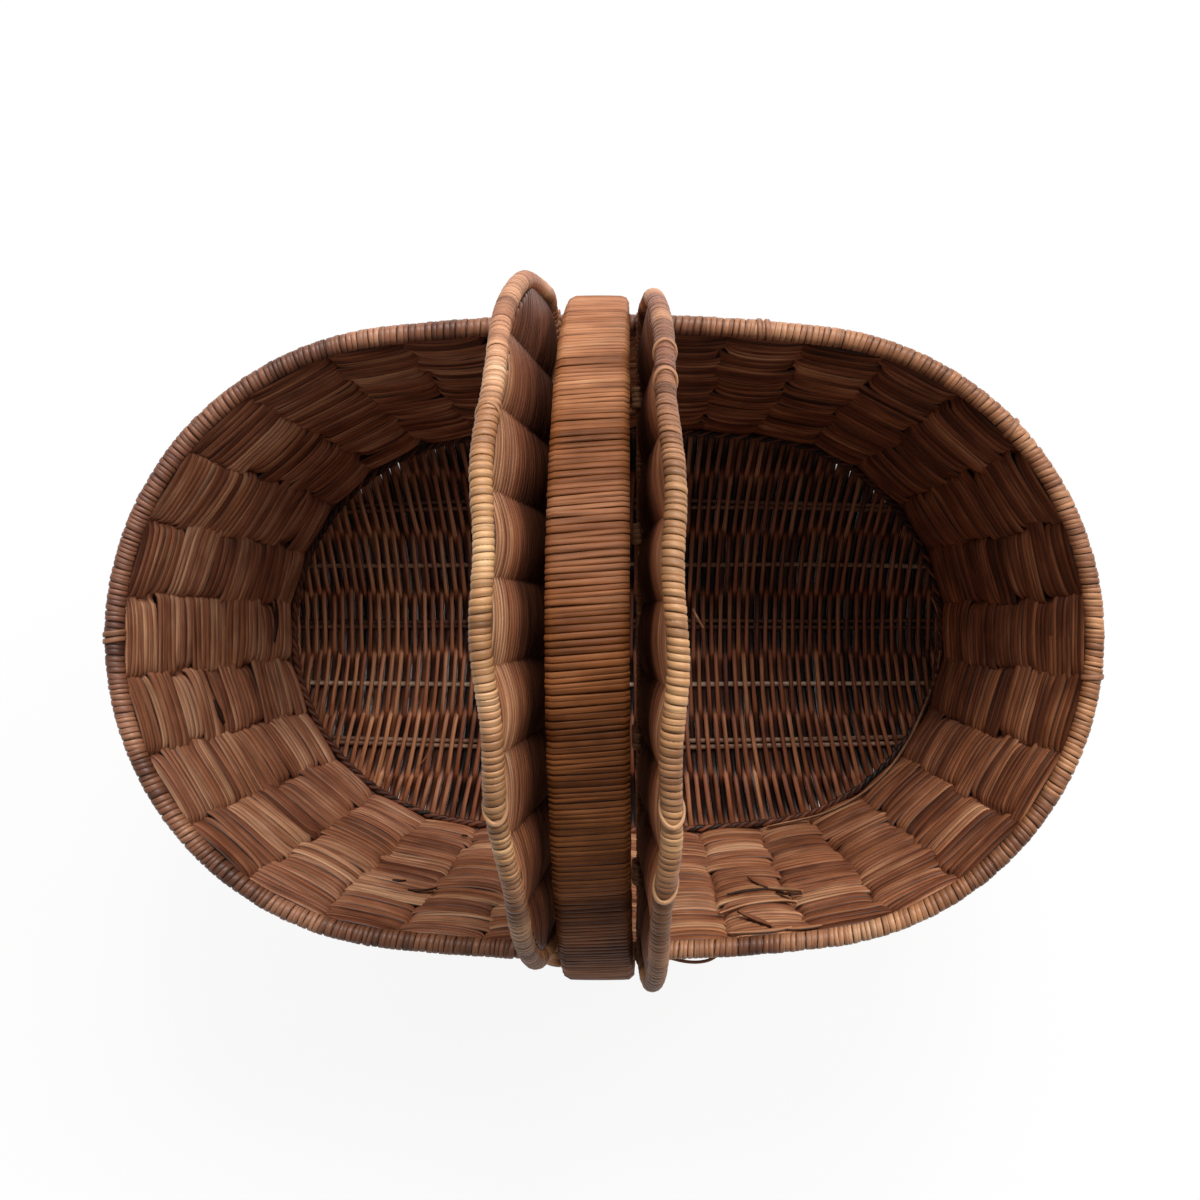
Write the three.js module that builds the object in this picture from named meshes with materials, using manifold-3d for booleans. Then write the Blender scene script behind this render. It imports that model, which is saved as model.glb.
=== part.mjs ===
// An oval picnic basket of woven rattan, in millimetres, +Z up.
// It stands on its foot border. Its long axis is X, and its handle spans Y.
// Two D-shaped lids hinge on bars beside the handle and stand open, leaning a little outwards.
import * as THREE from "three";
import { mergeVertices } from "three/addons/utils/BufferGeometryUtils.js";
import Module from "manifold-3d";

const wasm = await Module();
wasm.setup();

// Clearance between pieces that touch
const gap = 0.3;

// Outline: the centreline of the rim above and of the hoop at the floor below
const rimHalfLength = 225.5;
const rimHalfWidth = 144.4;
const floorHalfLength = 191;
const floorHalfWidth = 120;
const rimHeight = 209;
const endRoundness = 0.965; // radius of an oval's round ends, as a share of its half width

// Rim, foot border and the stakes that stand on the floor hoop
const rimRadius = 4.5;
const footWidth = 10.5;
const footHeight = 7;
const floorHoopRadius = 3.2;
const stakeRadius = 2;
const stakeCount = 32;

// Woven wall: its strands lie on both faces of each stake and cross between stakes
const wallStrand = 2.5;
const wallSeamHalf = 1.6;
const wallSteps = 4; // facets from one stake to the next

// Woven floor over sticks that run along X, in rows of one or two
const floorStickRadius = 1.5;
const floorStickRows = [2, 1, 2, 1, 2];
const floorRowSpacing = 35;
const floorRowShift = 4; // how far the rows lie towards +Y from the floor's middle
const floorStrand = 2;
const floorSeamHalf = 1.6;

// Hinge bars on the rim, and the cane loops that tie the lids to them
const hingePlaces = { left: -23, right: 18.5 };
const hingeBarRadius = 4;
const hingeBarOverhang = 3.5;
const loopClearance = 0.4;
const loopThickness = 1.6;
const loopWidth = 12;
const loopPlaces = [-3.5, -1.5, 1.5, 3.5]; // in rib spacings from the lid's middle

// Lids: a hoop bent to a D, ribs square to the hinge, and the weave over the ribs
const lidHoopRadius = 4;
const lidOverhang = -1.2; // how much wider than the rim's centreline a lid's is, on each side
const lidCornerRadius = 18;
const lidRibRadius = 1.8;
const lidRibCount = 9;
const lidRibSpread = 0.852; // where the outermost ribs are, as a share of the lid's half width
const lidStrand = 2.2;
const lidSeamHalf = 1.6;
const lidLeans = { left: 1.5, right: 2.6 }; // degrees from upright, as the lids stand open
const lidTwists = { left: 5, right: 1 }; // how much further a lid leans out at the +Y end of its free edge
const lidBows = { left: 4.5, right: 3.7 }; // how far the middle of the free edge bends out
const lidSlides = { left: 9, right: 1 }; // how far each lid has slipped along its bar

// Handle: parallel rods in a wrapping of cane, with legs down the outside of the wall
const handleRodRadius = 2.1;
const handleRodCount = 5;
const handleWrapThickness = 0.8;
const handleFootWidths = [25, 31]; // at its +Y and -Y ends
const handleTopWidth = 33;
const handlePlace = -1.3; // how far along X the handle stands from the basket's middle
const handleSeat = 2.3; // how deep the legs are pressed into the rim and the wall
const handleRise = 140; // from the rim's centre to the middle of the handle at its top
const handleShoulder = 5; // how far above the rim's centre the legs turn into the arch
const handleLegLength = 70;

const swellPower = 0.6; // low where strands lie flat over a stick and dive between two

// Facets
const ovalSteps = 64;
const rodSides = 8;
const stakeSides = 6;
const handleSteps = 24;
const handleRodSides = 6;

// Sizes that follow
const stakeHalf = stakeRadius + gap + wallStrand;
const hoopHeight = footHeight + gap + floorHoopRadius;
const wallBottom = hoopHeight + floorHoopRadius + gap;
const wallTop = rimHeight - rimRadius - gap;
const floorHalf = floorStickRadius + gap + floorStrand;
const floorHeight = wallBottom - gap - floorHalf;
const hingeHeight = rimHeight + rimRadius + gap + hingeBarRadius;
const spineOffset = hingeBarRadius + 2 * gap + lidHoopRadius;
const lidHalf = lidRibRadius + gap + lidStrand;
const lidHalfWidth = rimHalfWidth + lidOverhang;
const lidRibSpacing = (lidRibSpread * lidHalfWidth) / ((lidRibCount - 1) / 2);
const handleHalf = handleRodRadius + gap + handleWrapThickness;

const materials = {
  wall: new THREE.MeshStandardMaterial({ color: 0x7a4a30, roughness: 0.62, metalness: 0 }),
  stake: new THREE.MeshStandardMaterial({ color: 0x9b7350, roughness: 0.65, metalness: 0 }),
  floor: new THREE.MeshStandardMaterial({ color: 0x5f331f, roughness: 0.66, metalness: 0 }),
  stick: new THREE.MeshStandardMaterial({ color: 0x8c735f, roughness: 0.68, metalness: 0 }),
  rim: new THREE.MeshStandardMaterial({ color: 0xa5714f, roughness: 0.55, metalness: 0 }),
  lidRim: new THREE.MeshStandardMaterial({ color: 0xcfa37a, roughness: 0.52, metalness: 0 }),
  handle: new THREE.MeshStandardMaterial({ color: 0xa87450, roughness: 0.55, metalness: 0 }),
};

// A closed solid skinned over stations, each a ring with the same number of points
function loft(stations, closed = false) {
  const sides = stations[0].length;
  const count = stations.length;
  const index = [];
  const at = (station, point) => (station % count) * sides + (point % sides);
  for (let s = 0; s < (closed ? count : count - 1); s++) {
    for (let p = 0; p < sides; p++) {
      index.push(at(s, p), at(s, p + 1), at(s + 1, p + 1));
      index.push(at(s, p), at(s + 1, p + 1), at(s + 1, p));
    }
  }
  for (let p = 1; p < sides - 1 && !closed; p++) {
    index.push(at(0, 0), at(0, p + 1), at(0, p));
    index.push(at(count - 1, 0), at(count - 1, p), at(count - 1, p + 1));
  }
  const geometry = new THREE.BufferGeometry().setFromPoints(stations.flat());
  geometry.setIndex(index);
  return facingOut(geometry);
}

// Turns the faces of an inside-out solid round
function facingOut(geometry) {
  const position = geometry.getAttribute("position");
  const index = geometry.getIndex();
  const [a, b, c] = [new THREE.Vector3(), new THREE.Vector3(), new THREE.Vector3()];
  let volume = 0;
  for (let i = 0; i < index.count; i += 3) {
    a.fromBufferAttribute(position, index.getX(i));
    b.fromBufferAttribute(position, index.getX(i + 1));
    c.fromBufferAttribute(position, index.getX(i + 2));
    volume += a.dot(b.cross(c));
  }
  if (volume < 0) {
    geometry.setIndex([...index.array].reverse());
  }
  geometry.computeVertexNormals();
  return geometry;
}

function toManifold(geometry) {
  const plain = geometry.clone();
  plain.deleteAttribute("normal");
  plain.deleteAttribute("uv");
  const merged = mergeVertices(plain);
  const vertProperties = merged.getAttribute("position").array;
  const triVerts = new Uint32Array(merged.getIndex().array);
  return new wasm.Manifold(new wasm.Mesh({ numProp: 3, vertProperties, triVerts }));
}

function toGeometry(manifold) {
  const { vertProperties, triVerts } = manifold.getMesh();
  const geometry = new THREE.BufferGeometry();
  geometry.setAttribute("position", new THREE.BufferAttribute(vertProperties, 3));
  geometry.setIndex(new THREE.BufferAttribute(triVerts, 1));
  geometry.computeVertexNormals();
  return geometry;
}

function subtract(geometry, cutters) {
  const cut = cutters.reduce((left, cutter) => left.subtract(toManifold(cutter)), toManifold(geometry));
  return toGeometry(cut);
}

// Sections are lists of [across, up] pairs, and a ring is a section set at a place
function circle(radius, sides) {
  return Array.from({ length: sides }, (_, i) => {
    const angle = (2 * Math.PI * i) / sides;
    return [radius * Math.cos(angle), radius * Math.sin(angle)];
  });
}

function stadium(width, thickness, steps) {
  const section = [];
  for (const side of [1, -1]) {
    for (let i = 0; i <= steps; i++) {
      const angle = Math.PI * (i / steps - 0.5);
      const reach = (width - thickness + thickness * Math.cos(angle)) / 2;
      section.push([side * reach, (side * thickness * Math.sin(angle)) / 2]);
    }
  }
  return section;
}

function dome(width, height, steps) {
  const shoulder = 0.4 * height;
  const section = [[-width / 2, 0], [width / 2, 0]];
  for (let i = 0; i <= steps; i++) {
    const angle = (Math.PI * i) / steps;
    section.push([(width / 2) * Math.cos(angle), shoulder + (height - shoulder) * Math.sin(angle)]);
  }
  return section;
}

function ring(centre, across, up, section) {
  return section.map(([a, b]) => centre.clone().addScaledVector(across, a).addScaledVector(up, b));
}

const alongX = new THREE.Vector3(1, 0, 0);
const alongY = new THREE.Vector3(0, 1, 0);
const alongZ = new THREE.Vector3(0, 0, 1);

// A straight rod between two points, its ends parallel to the plane of across and up
function rod(from, to, across, up, radius, sides = rodSides) {
  return loft([from, to].map((end) => ring(end, across, up, circle(radius, sides))));
}

// A four-arc oval has round ends about (endCentre, 0) and flatter sides about (0, -sideCentre)
function ovalArcs(halfLength, halfWidth) {
  const endRadius = endRoundness * halfWidth;
  const endCentre = halfLength - endRadius;
  const drop = halfWidth - endRadius;
  const sideCentre = (endCentre ** 2 - drop ** 2) / (2 * drop);
  const sideRadius = halfWidth + sideCentre;
  const turn = Math.atan2(sideCentre, endCentre);
  return { endRadius, endCentre, sideRadius, sideCentre, turn };
}

const rimArcs = ovalArcs(rimHalfLength, rimHalfWidth);
const floorArcs = ovalArcs(floorHalfLength, floorHalfWidth);
const lidArcs = ovalArcs(rimHalfLength, lidHalfWidth);

// The point of an oval at a share of its perimeter, counted from +X towards +Y, and its normal
function ovalPoint(arcs, share) {
  const endLength = arcs.endRadius * arcs.turn;
  const sideLength = arcs.sideRadius * (Math.PI / 2 - arcs.turn);
  const quarters = 4 * (share - Math.floor(share));
  const quarter = Math.floor(quarters);
  const part = quarter % 2 ? 1 - (quarters - quarter) : quarters - quarter;
  const length = part * (endLength + sideLength);
  const onEnd = length <= endLength;
  const angle = onEnd ? length / arcs.endRadius : arcs.turn + (length - endLength) / arcs.sideRadius;
  const radius = onEnd ? arcs.endRadius : arcs.sideRadius;
  const signX = quarter === 1 || quarter === 2 ? -1 : 1;
  const signY = quarter < 2 ? 1 : -1;
  const x = radius * Math.cos(angle) + (onEnd ? arcs.endCentre : 0);
  const y = radius * Math.sin(angle) - (onEnd ? 0 : arcs.sideCentre);
  return {
    point: new THREE.Vector3(signX * x, signY * y, 0),
    normal: new THREE.Vector3(signX * Math.cos(angle), signY * Math.sin(angle), 0),
  };
}

// How far an oval drawn in by inset reaches along X at a given y
function ovalReach(arcs, y, inset) {
  const endRadius = arcs.endRadius - inset;
  const sideRadius = arcs.sideRadius - inset;
  if (Math.abs(y) <= endRadius * Math.sin(arcs.turn)) {
    return arcs.endCentre + Math.sqrt(endRadius ** 2 - y ** 2);
  }
  return Math.sqrt(sideRadius ** 2 - (Math.abs(y) + arcs.sideCentre) ** 2);
}

// The middle of the wall, which runs straight from the floor hoop to the rim
function wallPlace(share, height) {
  const floor = ovalPoint(floorArcs, share);
  const rim = ovalPoint(rimArcs, share);
  const part = (height - hoopHeight) / (rimHeight - hoopHeight);
  const point = floor.point.lerp(rim.point, part).setZ(height);
  return { point, normal: floor.normal.lerp(rim.normal, part).normalize() };
}

// A hoop round an oval at a height, its section standing on the oval's normal
function ovalHoop(arcs, height, section, offset = 0) {
  const stations = Array.from({ length: ovalSteps }, (_, i) => {
    const { point, normal } = ovalPoint(arcs, i / ovalSteps);
    return ring(point.addScaledVector(normal, offset).setZ(height), normal, alongZ, section);
  });
  return loft(stations, true);
}

// How much a weave swells over a stick: 1 on the stick's axis, 0 from reach outwards, steepest there
function swell(distance, reach) {
  return Math.max(Math.cos((Math.PI / 2) * Math.min(distance / reach, 1)), 0) ** swellPower;
}

// A slab woven over parallel sticks, swelling over each: sticks run along the given axis
function flutedSlab(places, reach, seamHalf, stickHalf, extent, step, length) {
  const count = Math.ceil(extent / step);
  const stations = Array.from({ length: 2 * count + 1 }, (_, i) => {
    const y = (i - count) * step;
    const nearest = Math.min(...places.map((place) => Math.abs(y - place)));
    const half = seamHalf + (stickHalf - seamHalf) * swell(nearest, reach);
    return [[-length, -half], [length, -half], [length, half], [-length, half]].map(
      ([along, out]) => new THREE.Vector3(along, y, out),
    );
  });
  return loft(stations);
}

const basket = new THREE.Group();
basket.name = "picnic_basket";

function add(parent, name, geometry, material) {
  const mesh = new THREE.Mesh(geometry, material);
  mesh.name = name;
  parent.add(mesh);
  return mesh;
}

// Foot border: flat underneath, its inner edge in line with the floor hoop's
const footOffset = footWidth / 2 - floorHoopRadius;
const footSection = dome(footWidth, footHeight, 3);
add(basket, "foot_border", ovalHoop(floorArcs, 0, footSection, footOffset), materials.wall);

// Stakes: they stand on the floor hoop and run up inside the weave to the rim
function stake(i, bottom, top, radius) {
  const share = i / stakeCount;
  const { point: from, normal } = wallPlace(share, bottom);
  const { point: to } = wallPlace(share, top);
  const tangent = new THREE.Vector3().crossVectors(alongZ, normal);
  return rod(from, to, normal, tangent, radius, stakeSides);
}

const stakeNumbers = Array.from({ length: stakeCount }, (_, i) => i);
const stakeFrame = stakeNumbers.reduce(
  (frame, i) => frame.add(toManifold(stake(i, hoopHeight, wallTop, stakeRadius))),
  toManifold(ovalHoop(floorArcs, hoopHeight, circle(floorHoopRadius, rodSides))),
);
add(basket, "stake_frame", toGeometry(stakeFrame), materials.stake);

// Wall: one shell, swelling over each stake and thinnest where the strands cross
function wallShell() {
  const columns = stakeCount * wallSteps;
  const stations = Array.from({ length: columns }, (_, i) => {
    const fromStake = Math.abs(i / wallSteps - Math.round(i / wallSteps));
    const half = wallSeamHalf + (stakeHalf - wallSeamHalf) * swell(fromStake, 0.5);
    const bottom = wallPlace(i / columns, wallBottom);
    const top = wallPlace(i / columns, wallTop);
    return [
      bottom.point.clone().addScaledVector(bottom.normal, -half),
      bottom.point.clone().addScaledVector(bottom.normal, half),
      top.point.clone().addScaledVector(top.normal, half),
      top.point.clone().addScaledVector(top.normal, -half),
    ];
  });
  return loft(stations, true);
}

// Floor: sticks from end to end of the floor hoop, and the weave over them
const floorInset = floorHoopRadius + gap;
const middleRow = (floorStickRows.length - 1) / 2;
const pairSpacing = 2 * floorStickRadius + gap;
const floorSticks = floorStickRows.flatMap((count, row) =>
  Array.from({ length: count }, (_, i) => {
    const rowPlace = (row - middleRow) * floorRowSpacing + floorRowShift;
    return rowPlace + (i - (count - 1) / 2) * pairSpacing;
  }),
);

function floorStick(y, radius, halfLength) {
  const from = new THREE.Vector3(-halfLength, y, floorHeight);
  const to = new THREE.Vector3(halfLength, y, floorHeight);
  return rod(from, to, alongY, alongZ, radius);
}

floorSticks.forEach((y, i) => {
  const reach = ovalReach(floorArcs, Math.abs(y) + floorStickRadius, floorInset);
  add(basket, `base_stick_${i + 1}`, floorStick(y, floorStickRadius, reach), materials.stick);
});

function floorWeave() {
  const step = floorRowSpacing / 6;
  const reach = (floorRowSpacing - pairSpacing) / 2;
  const slab = flutedSlab(
    floorSticks.map((y) => y - floorRowShift), reach, floorSeamHalf, floorHalf,
    floorHalfWidth + floorRowShift, step, floorHalfLength,
  ).translate(0, floorRowShift, floorHeight);
  const outline = [-floorHalf - 1, floorHalf + 1].map((z) =>
    Array.from({ length: ovalSteps }, (_, i) => {
      const { point, normal } = ovalPoint(floorArcs, i / ovalSteps);
      return point.addScaledVector(normal, -floorInset).setZ(floorHeight + z);
    }),
  );
  const panel = toGeometry(toManifold(slab).intersect(toManifold(loft(outline))));
  const holes = floorSticks.map((y) => floorStick(y, floorStickRadius + gap, floorHalfLength));
  return subtract(panel, holes);
}

add(basket, "base_weave", floorWeave(), materials.floor);

// Handle: its middle line, straight up the wall and then half an ellipse over the basket
function legY(height) {
  return wallPlace(0.25, height).point.y + stakeHalf + 2 * gap + handleHalf - handleSeat;
}

const shoulderHeight = rimHeight + handleShoulder;
const archHalfSpan = legY(rimHeight);
const archHeight = handleRise - handleShoulder;
const legFoot = rimHeight - handleLegLength;

function handlePlaces() {
  const places = Array.from({ length: handleSteps + 1 }, (_, i) => {
    const angle = (Math.PI * i) / handleSteps;
    const point = new THREE.Vector3(
      handlePlace,
      archHalfSpan * Math.cos(angle),
      shoulderHeight + archHeight * Math.sin(angle),
    );
    const out = new THREE.Vector3(0, archHeight * Math.cos(angle), archHalfSpan * Math.sin(angle));
    const endWidth = handleFootWidths[angle < Math.PI / 2 ? 0 : 1];
    const width = endWidth + (handleTopWidth - endWidth) * Math.sin(angle);
    return { point, out: out.normalize(), width };
  });
  const legs = [1, -1].map((side, i) => {
    const point = new THREE.Vector3(handlePlace, side * legY(legFoot), legFoot);
    const top = new THREE.Vector3(handlePlace, side * archHalfSpan, shoulderHeight);
    const leg = top.sub(point).normalize();
    const out = new THREE.Vector3(0, side * leg.z, -side * leg.y);
    return { point, out, width: handleFootWidths[i] };
  });
  return [legs[0], ...places, legs[1]];
}

// Stations along the handle, with the two end stations moved out along the legs by extra
function handleStations(section, extra = 0, offset = () => 0) {
  return handlePlaces().map(({ point, out, width }, i, all) => {
    const centre = point.clone().addScaledVector(alongX, offset(width));
    if (i === 0 || i === all.length - 1) {
      const leg = new THREE.Vector3().crossVectors(alongX, out);
      centre.addScaledVector(leg, -Math.sign(leg.z) * extra);
    }
    return ring(centre, alongX, out, section(width));
  });
}

const wrapSection = (width) => stadium(width, 2 * handleHalf, 4);
const boreSection = (width) => {
  return stadium(width - 2 * handleWrapThickness, 2 * (handleHalf - handleWrapThickness), 4);
};
const handleWrap = subtract(loft(handleStations(wrapSection)), [loft(handleStations(boreSection, 1))]);
add(basket, "handle_wrap", handleWrap, materials.handle);

for (let i = 0; i < handleRodCount; i++) {
  const part = (2 * i) / (handleRodCount - 1) - 1;
  const offset = (width) => part * (width / 2 - handleHalf - gap);
  const stations = handleStations(() => circle(handleRodRadius, handleRodSides), 0, offset);
  add(basket, `handle_rod_${i + 1}`, loft(stations), materials.stake);
}

// The legs are seated in the outside of the wall and of the rim
const legSeats = loft(handleStations((width) => stadium(width + 2 * gap, 2 * (handleHalf + gap), 4), gap));
const stakeHoles = stakeNumbers.map((i) => stake(i, hoopHeight, rimHeight, stakeRadius + gap));
add(basket, "wall_weave", subtract(wallShell(), [...stakeHoles, legSeats]), materials.wall);
const rimHoop = ovalHoop(rimArcs, rimHeight, circle(rimRadius, rodSides));
add(basket, "rim_hoop", subtract(rimHoop, [legSeats]), materials.rim);

// Hinge bars, lying across the rim on each side of the handle
for (const name of ["left", "right"]) {
  const halfLength = rimHalfWidth + hingeBarOverhang;
  const from = new THREE.Vector3(hingePlaces[name], -halfLength, hingeHeight);
  const to = new THREE.Vector3(hingePlaces[name], halfLength, hingeHeight);
  add(basket, `hinge_bar_${name}`, rod(from, to, alongX, alongZ, hingeBarRadius), materials.lidRim);
}

// A lid is drawn upright on its hinge axis: x outwards, y along the axis, z up the lid
// Its outline is the wider oval's, cut straight beside the bar, with round corners
function lidOutline(inset, hingeX) {
  const { endRadius, endCentre, sideRadius, sideCentre, turn } = lidArcs;
  const spineX = hingeX + spineOffset;
  const cornerX = spineX + lidCornerRadius;
  const cornerY = Math.sqrt((sideRadius - lidCornerRadius) ** 2 - cornerX ** 2) - sideCentre;
  const cornerTurn = Math.atan2(cornerY + sideCentre, cornerX);
  const half = [];
  const arc = (x, y, radius, from, to, steps, first) => {
    for (let i = first; i <= steps; i++) {
      const angle = from + ((to - from) * i) / steps;
      half.push({
        y: y + radius * Math.sin(angle),
        z: x + radius * Math.cos(angle) - hingeX,
        ny: Math.sin(angle),
        nz: Math.cos(angle),
      });
    }
  };
  arc(cornerX, cornerY, lidCornerRadius - inset, Math.PI, cornerTurn, 5, 0);
  arc(0, -sideCentre, sideRadius - inset, cornerTurn, turn, 3, 1);
  arc(endCentre, 0, endRadius - inset, turn, 0, 11, 1);
  const mirrored = half.slice(0, -1).reverse().map((p) => ({ ...p, y: -p.y, ny: -p.ny }));
  return [...half, ...mirrored];
}

function lidHoop(hingeX) {
  const stations = lidOutline(0, hingeX).map(({ y, z, ny, nz }) => {
    return ring(new THREE.Vector3(0, y, z), new THREE.Vector3(0, ny, nz), alongX,
      circle(lidHoopRadius, rodSides));
  });
  return loft(stations, true);
}

const lidInset = lidHoopRadius + gap;
const ribFoot = spineOffset + lidInset;
const ribPlaces = Array.from({ length: lidRibCount }, (_, i) => {
  return (i - (lidRibCount - 1) / 2) * lidRibSpacing;
});

function lidRib(y, radius, from, to) {
  return rod(new THREE.Vector3(0, y, from), new THREE.Vector3(0, y, to), alongX, alongY, radius);
}

function ribTop(y, hingeX) {
  return ovalReach(lidArcs, Math.abs(y) + lidRibRadius, lidInset) - hingeX;
}

// A cane loop goes round the bar and the lid's straight side, and turns on the bar
function hingeLoop(y) {
  const steps = 9;
  const inner = hingeBarRadius + loopClearance;
  const stations = [];
  for (const [centre, start] of [[0, Math.PI], [spineOffset, 0]]) {
    for (let i = 0; i < steps; i++) {
      const angle = start + (Math.PI * i) / (steps - 1);
      const out = new THREE.Vector3(Math.cos(angle), 0, Math.sin(angle));
      const place = new THREE.Vector3(0, y, centre);
      stations.push(ring(place, out, alongY, [
        [inner, -loopWidth / 2],
        [inner + loopThickness, -loopWidth / 2],
        [inner + loopThickness, loopWidth / 2],
        [inner, loopWidth / 2],
      ]));
    }
  }
  return loft(stations, true);
}

function lidWeave(hingeX) {
  const height = rimHalfLength;
  const slab = flutedSlab(
    ribPlaces, lidRibSpacing / 2, lidSeamHalf, lidHalf, lidHalfWidth, lidRibSpacing / 4, height,
  ).rotateY(-Math.PI / 2);
  const outline = [-lidHalf - 1, lidHalf + 1].map((x) =>
    lidOutline(lidInset, hingeX).map(({ y, z }) => new THREE.Vector3(x, y, z)),
  );
  const panel = toGeometry(toManifold(slab).intersect(toManifold(loft(outline))));
  const holes = ribPlaces.map((y) => lidRib(y, lidRibRadius + gap, 0, height));
  const loopTop = spineOffset + hingeBarRadius + loopClearance + loopThickness + gap;
  const notches = loopPlaces.map((place) => {
    const notch = new THREE.BoxGeometry(4 * lidHalf, loopWidth + 2 * gap, 2 * loopTop);
    return notch.translate(0, place * lidRibSpacing, 0);
  });
  return subtract(panel, [...holes, ...notches]);
}

// Gives a lid's piece the lid's twist and bow, on the lid's own side of the handle
function bent(geometry, side, hingeX, twist, bow) {
  const position = geometry.getAttribute("position");
  for (let i = 0; i < position.count; i++) {
    const [x, y, z] = [position.getX(i), position.getY(i), position.getZ(i)];
    const across = y / lidHalfWidth;
    const lean = (twist * across + bow * (1 - across ** 2)) / (rimHalfLength - hingeX);
    position.setX(i, side * (x + lean * z));
  }
  return facingOut(geometry);
}

for (const name of ["left", "right"]) {
  const side = Math.sign(hingePlaces[name]);
  const hingeX = Math.abs(hingePlaces[name]);
  const shape = (geometry) => bent(geometry, side, hingeX, lidTwists[name], lidBows[name]);
  const lid = new THREE.Group();
  lid.name = `${name}_lid`;
  lid.position.set(hingePlaces[name], lidSlides[name], hingeHeight);
  lid.rotation.y = side * THREE.MathUtils.degToRad(lidLeans[name]);
  basket.add(lid);
  add(lid, `${name}_lid_hoop`, shape(lidHoop(hingeX)), materials.lidRim);
  add(lid, `${name}_lid_weave`, shape(lidWeave(hingeX)), materials.wall);
  ribPlaces.forEach((y, i) => {
    const rib = lidRib(y, lidRibRadius, ribFoot, ribTop(y, hingeX));
    add(lid, `${name}_lid_rib_${i + 1}`, shape(rib), materials.stake);
  });
  loopPlaces.forEach((place, i) => {
    const loop = shape(hingeLoop(place * lidRibSpacing));
    add(lid, `${name}_lid_loop_${i + 1}`, loop, materials.lidRim);
  });
}

export default basket;
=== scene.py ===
import math

import bpy
import numpy as np
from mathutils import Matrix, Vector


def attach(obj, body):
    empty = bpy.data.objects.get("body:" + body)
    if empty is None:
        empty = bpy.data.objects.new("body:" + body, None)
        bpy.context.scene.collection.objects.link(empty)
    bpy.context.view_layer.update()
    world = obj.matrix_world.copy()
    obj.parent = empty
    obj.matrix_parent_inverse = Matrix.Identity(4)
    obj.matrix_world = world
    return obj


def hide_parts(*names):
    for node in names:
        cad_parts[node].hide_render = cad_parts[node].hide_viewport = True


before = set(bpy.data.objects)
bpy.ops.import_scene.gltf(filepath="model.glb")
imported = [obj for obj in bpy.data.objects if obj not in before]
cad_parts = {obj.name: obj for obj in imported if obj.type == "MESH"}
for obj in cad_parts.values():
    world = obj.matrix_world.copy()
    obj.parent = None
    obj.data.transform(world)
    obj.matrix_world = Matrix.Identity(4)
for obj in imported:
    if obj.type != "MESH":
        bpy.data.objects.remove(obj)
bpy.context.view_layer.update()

# Driving sizes in metres, the same as the CAD model's
GAP = 0.0003
RIM_HALF = (0.2255, 0.1444)
FLOOR_HALF = (0.191, 0.120)
RIM_HEIGHT = 0.209
END_ROUNDNESS = 0.965
RIM_RADIUS = 0.0045
FOOT_WIDTH = 0.0105
FOOT_HEIGHT = 0.007
FLOOR_HOOP_RADIUS = 0.0032
STAKE_RADIUS = 0.002
STAKE_COUNT = 32
STAKE_HALF = 0.0048
FLOOR_STICK_RADIUS = 0.0015
FLOOR_STICK_ROWS = (2, 1, 2, 1, 2)
FLOOR_ROW_SPACING = 0.035
FLOOR_ROW_SHIFT = 0.004
HINGE_PLACES = {"left": -0.023, "right": 0.0185}
HINGE_BAR_RADIUS = 0.004
HINGE_BAR_OVERHANG = 0.0035
LOOP_CLEARANCE = 0.0004
LOOP_THICKNESS = 0.0016
LOOP_WIDTH = 0.012
LOOP_PLACES = (-3.5, -1.5, 1.5, 3.5)
LID_HOOP_RADIUS = 0.004
LID_OVERHANG = -0.0012
LID_CORNER_RADIUS = 0.018
LID_RIB_RADIUS = 0.0018
LID_RIB_COUNT = 9
LID_RIB_SPREAD = 0.852
LID_LEANS = {"left": math.radians(1.5), "right": math.radians(2.6)}
LID_TWISTS = {"left": 0.005, "right": 0.001}
LID_BOWS = {"left": 0.0045, "right": 0.0037}
LID_SLIDES = {"left": 0.009, "right": 0.001}
HANDLE_ROD_RADIUS = 0.0021
HANDLE_WRAP = 0.0008
HANDLE_FOOT_WIDTHS = (0.025, 0.031)
HANDLE_TOP_WIDTH = 0.033
HANDLE_PLACE = -0.0013
HANDLE_SEAT = 0.0023
HANDLE_RISE = 0.140
HANDLE_SHOULDER = 0.005
HANDLE_LEG = 0.070

# Sizes that follow
HOOP_HEIGHT = FOOT_HEIGHT + GAP + FLOOR_HOOP_RADIUS
WALL_BOTTOM = HOOP_HEIGHT + FLOOR_HOOP_RADIUS + GAP
WALL_TOP = RIM_HEIGHT - RIM_RADIUS - GAP
FLOOR_LEVEL = 0.0099
HINGE_HEIGHT = RIM_HEIGHT + RIM_RADIUS + GAP + HINGE_BAR_RADIUS
SPINE_OFFSET = HINGE_BAR_RADIUS + 2 * GAP + LID_HOOP_RADIUS
HANDLE_HALF = HANDLE_ROD_RADIUS + GAP + HANDLE_WRAP
LID_HALF_WIDTH = RIM_HALF[1] + LID_OVERHANG
LID_RIB_SPACING = LID_RIB_SPREAD * LID_HALF_WIDTH / ((LID_RIB_COUNT - 1) / 2)

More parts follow.
